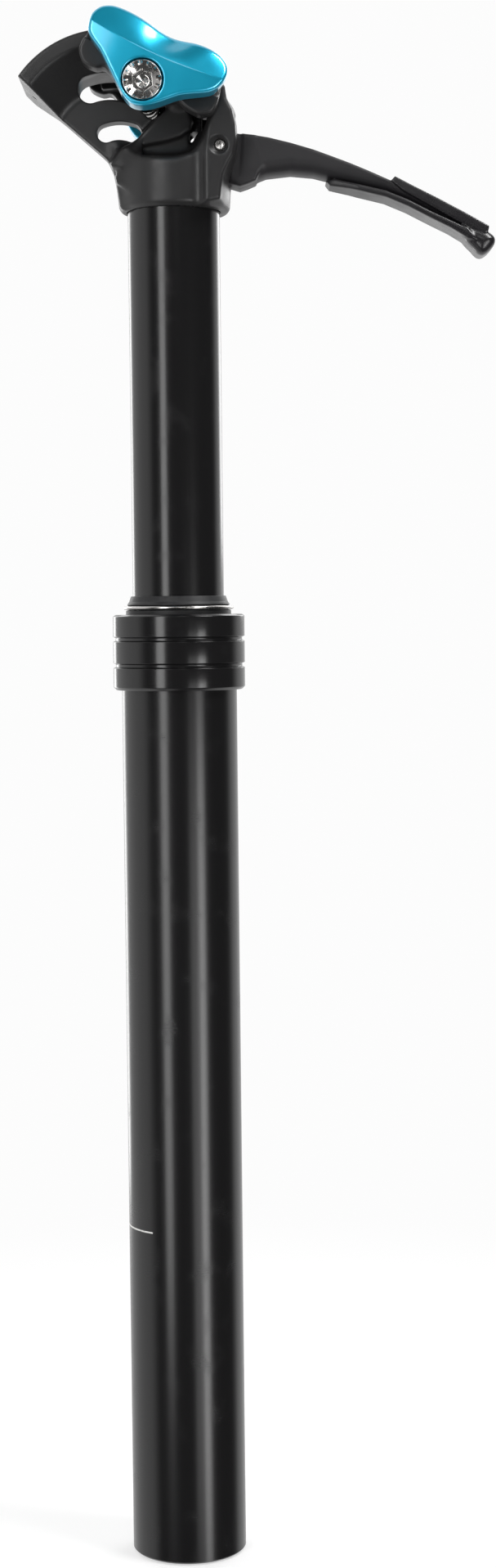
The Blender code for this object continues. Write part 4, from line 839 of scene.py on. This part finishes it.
def plate_field(side, nut):
    """Distance to a clamp plate. Its field takes the place along the rails, across the post,
    and square to the rails. The outer face falls away above a crease."""
    edge = smooth_loop(PLATE_EDGE, 3)
    head_floor = PLATE_OUTER - 5.9
    nut_floor = PLATE_OUTER - 4.8
    valley_place, valley_width = 2.6, 5.2
    front_swell, rear_swell, swell_width = 13.0, -12.0, 6.0

    def field(t, y, n):
        out = y * side
        crease = 7.3 + 1.5 * (t / 19.0) ** 2
        rise = np.clip((n - crease) / 7.6, 0.0, 1.0)
        valley = 2.6 * np.exp(-((t - valley_place) / valley_width) ** 2)
        swell = 0.9 * np.exp(-((t - front_swell) / swell_width) ** 2)
        swell = swell + 0.3 * np.exp(-((t - rear_swell) / swell_width) ** 2)
        fall = 3.9 * rise * (0.75 + 0.25 * rise) + (valley - swell) * np.sin(rise * 1.57) ** 1.3
        crown = 1.5 * np.abs(t / 19.0) ** 2.2
        skin = (out - (PLATE_OUTER - crown - fall)) * 0.8
        body = meet(outline(t, n, edge), skin, 1.0)
        body = meet(body, PLATE_INNER - out, 0.4)
        channel = np.hypot(out - RAIL_SPACING, n - RAIL_HEIGHT) - RAIL_RADIUS
        from_axis = np.hypot(t, n)
        body = cut(body, np.minimum(channel, from_axis - 3.2), 0.3)
        if nut:
            pocket = meet(polygon_rod(n, t, 5.1), nut_floor - out)
        else:
            pocket = meet(from_axis - BOLT_HEAD_RADIUS - 0.3, head_floor - out)
        return cut(body, pocket, 0.45)

    return field


CRADLE_EDGE = [(-19.6, 9.5), (-19.3, 6.6), (-19.6, 2.6), (-18.3, 0.2), (-16.5, -0.9), (-13.4, -0.8),
               (-11.2, 0.3), (-7.5, -1.6), (-4.0, -3.9), (0.0, -4.8), (4.0, -3.9), (7.0, -1.4),
               (9.9, 0.2), (12.4, -0.5), (15.7, -0.8), (17.6, -0.1), (19.2, 1.4), (19.5, 3.7),
               (19.0, 6.6), (18.0, 9.6), (16.6, 12.0), (13.8, 13.0), (8.0, 12.6), (0.0, 12.2),
               (-8.0, 12.6), (-13.5, 13.2), (-17.0, 13.2), (-19.0, 11.8)]


def cradle_field(side):
    """Distance to an inner cradle, with the wedge that sits in the head's recess."""
    profile = smooth_loop(CRADLE_EDGE, 3)
    inner = HEAD_HALF_WIDTH + 0.3
    offset = Vector((ARC_X - in_mm(BOLT_AXIS[0]), in_mm(ARC_CENTRE[2] - BOLT_AXIS[2])))
    centre_t = offset.x * math.cos(CLAMP_TILT) - offset.y * math.sin(CLAMP_TILT)
    centre_n = offset.x * math.sin(CLAMP_TILT) + offset.y * math.cos(CLAMP_TILT)

    def field(t, y, n):
        out = y * side
        body = meet(outline(t, n, profile), np.maximum(inner - out, out - CRADLE_OUTER), 0.8)
        radius = np.hypot(t - centre_t, n - centre_n)
        wall = DISH_RADIUS - 0.6 - 0.88 * (inner - 0.3 - out)
        wedge = meet((radius - wall) * 0.75, 18.7 - radius, 0.6)
        angle = np.arctan2(n - centre_n, t - centre_t)
        swing = (np.abs(angle - math.radians(99.5)) - math.radians(24.0)) * radius
        wedge = meet(meet(wedge, swing, 0.8), np.maximum(inner - 2.9 - out, out - inner - 1.0), 0.4)
        body = join(body, wedge)
        channel = np.hypot(out - RAIL_SPACING, n - RAIL_HEIGHT) - RAIL_RADIUS
        return cut(body, np.minimum(channel, np.hypot(t, n) - 3.2), 0.3)

    return field


def clamp_piece(name, field, span, node, finish, step):
    """Carve one piece in the tilted clamp frame and fit it; span is its reach across the post."""
    piece = carve(name, field, (-21.2, min(span), -8.0), (21.2, max(span), 15.6), step, BOLT_AXIS, CLAMP_TILT)
    return fit(piece, node, finish)


def bolt_head_field(t, y, n):
    """Distance to the bolt's head: bevelled disc with a hexagon socket."""
    from_axis = np.hypot(t, n)
    face = -PLATE_OUTER
    disc = meet(from_axis - BOLT_HEAD_RADIUS, np.maximum(face - y, y - face - BOLT_HEAD_HEIGHT), 0.25)
    disc = meet(disc, (from_axis - BOLT_HEAD_RADIUS + 0.75 - (y - face)) * 0.72, 0.15)
    socket = meet(polygon_rod(n, t, 2.6), y - face - 2.6)
    chamfer = (from_axis - 3.55 + (y - face) * 1.3) * 0.6
    drill = (from_axis - 1.7 + (y - face - 2.6) * 1.6) * 0.55
    return cut(disc, np.minimum(np.minimum(socket, chamfer), drill), 0.08)


def build_clamp():
    """Both inner cradles, then both plates."""
    black = cast_black("cradle_black", 0.007, 0.36)
    teal = anodised_teal()
    sides = {"right": -1, "left": 1}
    for name, side in sides.items():
        span = (side * CRADLE_INNER, side * CRADLE_OUTER)
        clamp_piece(f"fine_{name}_cradle", cradle_field(side), span, f"{name}_inner_cradle", black, 0.32)
    for name, side in sides.items():
        span = (side * PLATE_INNER, side * PLATE_OUTER)
        field = plate_field(side, nut=name == "left")
        clamp_piece(f"fine_{name}_plate", field, span, f"{name}_clamp_plate", teal, 0.22)


# ---- Screws ---------------------------------------------------------------------------------------

class Maker(Tree):
    """A Geometry Nodes tree with named inputs, which adds to the geometry it is given."""

    def __init__(self, name, **sizes):
        super().__init__(bpy.data.node_groups.new(name, "GeometryNodeTree"))
        faces = self.tree.interface
        faces.new_socket("Geometry", in_out="OUTPUT", socket_type="NodeSocketGeometry")
        faces.new_socket("Geometry", in_out="INPUT", socket_type="NodeSocketGeometry")
        faces.new_socket("Material", in_out="INPUT", socket_type="NodeSocketMaterial")
        for size, value in sizes.items():
            kind = "NodeSocketInt" if isinstance(value, int) else "NodeSocketFloat"
            faces.new_socket(size, in_out="INPUT", socket_type=kind).default_value = value
        self.entry = self.tree.nodes.new("NodeGroupInput")

    def given(self, name):
        return Link(self, self.entry.outputs[name])

    def close(self, *geometry):
        """End the tree: join what it made, realize it and set its material."""
        joined = self.tree.nodes.new("GeometryNodeJoinGeometry")
        for part in (self.given("Geometry"), *geometry):
            self.tree.links.new(part.socket, joined.inputs[0])
        real = self.node("GeometryNodeRealizeInstances", None, {"Geometry": Link(self, joined.outputs[0])})
        dressed = self.node("GeometryNodeSetMaterial", None, {
            "Geometry": real, "Material": self.given("Material")})
        self.tree.links.new(dressed.socket, self.tree.nodes.new("NodeGroupOutput").inputs[0])
        return self

    def run(self, piece, **values):
        """Put the tree on a piece, set its inputs by identifier, and apply it."""
        modifier = piece.modifiers.new(self.tree.name, "NODES")
        modifier.node_group = self.tree
        for item in self.tree.interface.items_tree:
            if item.in_out == "INPUT" and item.name in values:
                modifier[item.identifier] = values[item.name]
        return baked(piece)


def thread_maker():
    """A screw thread along Z: a three-sided section swept along a spiral."""
    maker = Maker("screw_thread", Radius=3.0 * MM, Pitch=1.0 * MM, Turns=8.0, Start=0.0)
    spiral = maker.node("GeometryNodeCurveSpiral", None, {
        "Resolution": 40, "Rotations": maker.given("Turns"), "Start Radius": maker.given("Radius"),
        "End Radius": maker.given("Radius"), "Height": maker.given("Turns") * maker.given("Pitch")})
    section = maker.node("GeometryNodeCurvePrimitiveCircle", None, {
        "Resolution": 3, "Radius": maker.given("Pitch") * 0.42})
    thread = maker.node("GeometryNodeCurveToMesh", None, {
        "Curve": spiral, "Profile Curve": section, "Fill Caps": True})
    lift = maker.node("ShaderNodeCombineXYZ", None, {"Z": maker.given("Start")})
    return maker.close(maker.node("GeometryNodeTransform", None, {"Geometry": thread, "Translation": lift}))


def teeth_maker():
    """A ring of radial ridges round Z, as on the face of a locking screw."""
    maker = Maker("locking_teeth", Count=14, Radius=4.2 * MM, Length=1.5 * MM, Width=0.6 * MM, Height=0.0)
    ring = maker.node("GeometryNodeMeshCircle", None, {
        "Vertices": maker.given("Count"), "Radius": maker.given("Radius")})
    size = maker.node("ShaderNodeCombineXYZ", None, {
        "X": maker.given("Length"), "Y": maker.given("Width"), "Z": maker.given("Width")})
    bar = maker.node("GeometryNodeMeshCube", None, {"Size": size})
    ridge = maker.node("GeometryNodeTransform", None, {
        "Geometry": bar, "Rotation": (math.radians(45), 0.0, 0.0)})
    index = maker.node("GeometryNodeInputIndex")
    step = maker.maths_of("DIVIDE", 2 * math.pi, maker.given("Count"))
    turn = maker.node("ShaderNodeCombineXYZ", None, {"Z": index * step})
    teeth = maker.node("GeometryNodeInstanceOnPoints", None, {
        "Points": ring, "Instance": ridge, "Rotation": turn})
    lift = maker.node("ShaderNodeCombineXYZ", None, {"Z": maker.given("Height")})
    return maker.close(maker.node("GeometryNodeTransform", None, {"Geometry": teeth, "Translation": lift}))


def across_clamp():
    """Places a piece made along Z on the bolt's axis, pointing to the post's right side."""
    return (Matrix.Translation(BOLT_AXIS) @ Matrix.Rotation(CLAMP_TILT, 4, "Y")
            @ Matrix.Rotation(math.radians(90), 4, "X"))


def joined(name, *pieces):
    """One mesh from several."""
    bm = bmesh.new()
    for piece in pieces:
        bm.from_mesh(piece.data)
        bpy.data.objects.remove(piece, do_unlink=True)
    mesh = bpy.data.meshes.new(name)
    bm.to_mesh(mesh)
    bm.free()
    return placed(name, mesh)


def build_bolt():
    """Clamp bolt: locking teeth on its face, hexagon socket, shank and thread."""
    finish = polished_steel("bolt_steel", 0.72, 0.13)
    reach = BOLT_HEAD_RADIUS + 0.05
    head = carve("bolt_head", bolt_head_field, (-reach, -PLATE_OUTER, -reach),
                 (reach, BOLT_HEAD_HEIGHT + 0.1 - PLATE_OUTER, reach), 0.13)
    head.data.transform(Matrix.Rotation(math.radians(-90), 4, "X"))
    base = PLATE_OUTER - BOLT_HEAD_HEIGHT
    end = 0.2 - PLATE_OUTER
    shank = turned("bolt_shank", [(0.0, base + 0.3), (BOLT_RADIUS, base + 0.3), (BOLT_RADIUS, 12.0),
                                  (BOLT_RADIUS - 0.4, 11.6), (BOLT_RADIUS - 0.4, end + 0.5),
                                  (BOLT_RADIUS - 0.9, end), (0.0, end)], 96, closed=False)
    bolt = joined("fine_clamp_bolt", head, shank)
    teeth_maker().run(bolt, Material=finish, Count=12, Radius=4.2 * MM, Length=1.1 * MM,
                      Width=0.85 * MM, Height=(PLATE_OUTER - 0.38) * MM)
    thread_maker().run(bolt, Material=finish, Radius=(BOLT_RADIUS - 0.35) * MM, Pitch=1.0 * MM,
                       Turns=40.0, Start=(end + 0.9) * MM)
    bolt.data.transform(across_clamp())
    fit(bolt, "clamp_bolt", finish)


def nut_field(t, y, n):
    """Distance to the clamp nut: a hexagon with both faces bevelled and its bore."""
    from_axis = np.hypot(t, n)
    low, high = PLATE_OUTER - 4.5, PLATE_OUTER - 0.3
    body = meet(polygon_rod(n, t, 4.85), np.maximum(low - y, y - high), 0.15)
    bevel = np.maximum(from_axis - 5.1 - (y - low) * 1.7, from_axis - 5.1 - (high - y) * 1.7) * 0.5
    body = meet(body, bevel, 0.1)
    return cut(body, from_axis - BOLT_RADIUS - GAP, 0.3)


def build_small_parts():
    """Clamp nut, lever pin and washers."""
    steel = polished_steel("fastener_steel", 0.6, 0.22)
    nut = carve("fine_clamp_nut", nut_field, (-5.7, PLATE_OUTER - 4.5, -5.7), (5.7, PLATE_OUTER - 0.3, 5.7),
                0.16, BOLT_AXIS, CLAMP_TILT)
    fit(nut, "clamp_nut", steel)
    reach = HEAD_HALF_WIDTH - 0.5
    pin = [(0.0, -reach + 0.35), (0.7, -reach), (PIN_RADIUS - 0.3, -reach), (PIN_RADIUS, 0.3 - reach),
           (PIN_RADIUS, reach - 0.3), (PIN_RADIUS - 0.3, reach), (0.7, reach), (0.0, reach - 0.35)]
    place = Matrix.Translation(PIVOT) @ Matrix.Rotation(math.radians(90), 4, "X")
    fit(turned("fine_lever_pin", pin, 64, closed=False, place=place), "lever_pin", steel)
    refined("bolt_washer", steel, 0.1)


def build_base():
    """What shows from below in the end of the outer tube."""
    steel = polished_steel("base_steel", 0.5, 0.26)
    refined("base_plug", machined_metal("base_plug_aluminium", (0.6, 0.61, 0.63), 0.3), 0.25)
    refined("base_retaining_ring", steel, 0.12)
    refined("rod_bolt", steel, 0.2)
    refined("rod_washer", steel, 0.1)


def finish_inner_parts():
    """Better materials for the CAD nodes that stay as they are."""
    plastic = machined_metal("bearing_plastic", (0.5, 0.48, 0.4), 0.42, 0.0)
    aluminium = machined_metal("inner_aluminium", (0.6, 0.61, 0.63), 0.3)
    chrome = machined_metal("hard_chrome", (0.68, 0.68, 0.7), 0.1)
    brass = machined_metal("key_brass", (0.62, 0.44, 0.16), 0.3)
    rubber = wiper_rubber()
    steel = polished_steel("inner_steel", 0.55, 0.24)
    kinds = {"upper_bushing": plastic, "lower_bushing": plastic, "piston_ring": plastic,
             "collar_o_ring": rubber, "bump_stop": rubber, "rod_seal": rubber, "valve_seal_ring": rubber,
             "gas_rod": chrome, "guide_key_1": brass, "guide_key_2": brass, "guide_key_3": brass,
             "valve_spring": steel, "valve_pin": steel, "piston_nut": steel}
    shown = {node for node in frame["nodes"] if not frame["nodes"][node].hide_render}
    for node in sorted(shown):
        for slot in frame["nodes"][node].material_slots:
            slot.material = kinds.get(node, aluminium)


# ---- Stage, lights and camera ---------------------------------------------------------------------

def build_stage():
    """Pale floor that fades into a white surround."""
    reach, drop = 4.0, -0.0004
    mesh = bpy.data.meshes.new("pale_floor")
    corners = [(-reach, -reach, drop), (reach, -reach, drop), (reach, reach, drop), (-reach, reach, drop)]
    mesh.from_pydata(corners, [], [(0, 1, 2, 3)])
    floor = placed("pale_floor", mesh)
    finish = Finish("pale_floor", Roughness=0.9, Specular_IOR_Level=0.0)
    x, y, _ = finish.axes()
    near_edge, far_edge = 60.0, 420.0
    far = finish.maths_of("SQRT", x * x + y * y).ramp(near_edge, far_edge)
    finish.give(Base_Color=(0.5, 0.5, 0.5, 1.0), Emission_Color=(1.0, 1.0, 1.0, 1.0),
                Emission_Strength=0.55)
    white = finish.node("ShaderNodeEmission", None, {"Color": (0.975, 0.975, 0.975, 1.0)})
    output = finish.tree.nodes["Material Output"]
    near = Link(finish, finish.shader.outputs[0])
    finish.feed(output.inputs[0], finish.node("ShaderNodeMixShader", None, {0: far, 1: near, 2: white}))
    mesh.materials.append(finish.material)
    floor.visible_glossy = False
    floor.visible_shadow = False


def soft_box(name, azimuth, elevation, width, height, radiance, distance=1.1, middle=0.25):
    """An area light that faces the post. Azimuth 0 is in front of its right side, where the
    camera stands, and grows to the front of the bicycle; angles in degrees."""
    light = bpy.data.lights.new(name, "AREA")
    light.shape = "RECTANGLE"
    light.size = width
    light.size_y = height
    light.energy = radiance * math.pi * width * height
    box = bpy.data.objects.new(name, light)
    bpy.context.scene.collection.objects.link(box)
    turn, rise = math.radians(azimuth), math.radians(elevation)
    out = Vector((math.sin(turn) * math.cos(rise), -math.cos(turn) * math.cos(rise), math.sin(rise)))
    box.location = Vector((0, 0, middle)) + out * distance
    box.rotation_euler = out.to_track_quat("Z", "Y").to_euler()
    box.visible_camera = False


def build_lights():
    soft_box("tall_strip_left", -31, 0, 0.25, 1.3, 4.6, 1.0, 0.45)
    soft_box("low_strip_right", 42, 0, 0.26, 0.6, 5.5, 1.1, -0.12)
    soft_box("low_wash_right", 30, 0, 0.5, 0.6, 1.6, 1.15, -0.13)
    soft_box("key_above_right", 62, 45, 0.42, 0.42, 16.0, 1.1, 0.38)
    soft_box("overhead_front", 8, 27, 0.24, 0.5, 2.2, 1.1, 0.38)
    soft_box("fill_above_left", -24, 24, 0.4, 0.5, 1.9, 1.1, 0.40)
    soft_box("strip_behind_left", -150, 5, 0.3, 1.2, 3.0, 1.1, 0.35)
    soft_box("strip_behind_right", 150, 20, 0.4, 0.9, 3.0, 1.1, 0.35)


def build_surround():
    """White to the camera. To the piece: dim in front, bright to the left and behind."""
    world = bpy.data.worlds.new("studio")
    bpy.context.scene.world = world
    world.use_nodes = True
    tree = Tree(world.node_tree)
    direction = tree.node("ShaderNodeTexCoord", output="Generated")
    split = tree.node("ShaderNodeSeparateXYZ", None, {"Vector": direction})
    x = split
    y = Link(tree, split.socket.node.outputs[1])
    turn = tree.maths_of("ARCTAN2", x, y * -1.0)
    left = 1.0 - turn.ramp(math.radians(-78), math.radians(-56))
    right = turn.ramp(math.radians(104), math.radians(128))
    glow = left * 0.85 + right * 0.85 + 0.06
    lit = tree.node("ShaderNodeBackground", None, {"Color": (1.0, 1.0, 1.0, 1.0), "Strength": glow})
    seen = tree.node("ShaderNodeBackground", None, {"Color": (0.975, 0.975, 0.975, 1.0)})
    camera = tree.node("ShaderNodeLightPath", output="Is Camera Ray")
    mix = tree.node("ShaderNodeMixShader", None, {0: camera, 1: lit, 2: seen})
    tree.feed(world.node_tree.nodes["World Output"].inputs[0], mix)
    bpy.context.scene.view_settings.view_transform = "Standard"


def build_camera():
    """Level with the collar, a little to the front, looking slightly down."""
    place = (0.01859, -0.72080, 0.26245)
    dip, roll = math.radians(3.831), -0.01055
    camera = bpy.data.cameras.new("camera")
    camera.sensor_width = 36.0
    camera.lens = 60.12
    camera.clip_start = 0.01
    seat = bpy.data.objects.new("camera", camera)
    bpy.context.scene.collection.objects.link(seat)
    ahead = Vector((0, math.cos(dip), -math.sin(dip)))
    up = Vector((0, math.sin(dip), math.cos(dip)))
    right = Vector((1, 0, 0))
    axis_x = right * math.cos(roll) + up * math.sin(roll)
    axis_y = right * -math.sin(roll) + up * math.cos(roll)
    turn = Matrix((axis_x, axis_y, -ahead)).transposed().to_4x4()
    seat.matrix_world = Matrix.Translation(place) @ turn
    bpy.context.scene.camera = seat


build_camera()
build_outer_tube()
build_stanchion()
build_collar()
build_wiper()
build_head()
build_lever()
build_clamp()
build_bolt()
build_small_parts()
build_base()
finish_inner_parts()
build_stage()
build_lights()
build_surround()
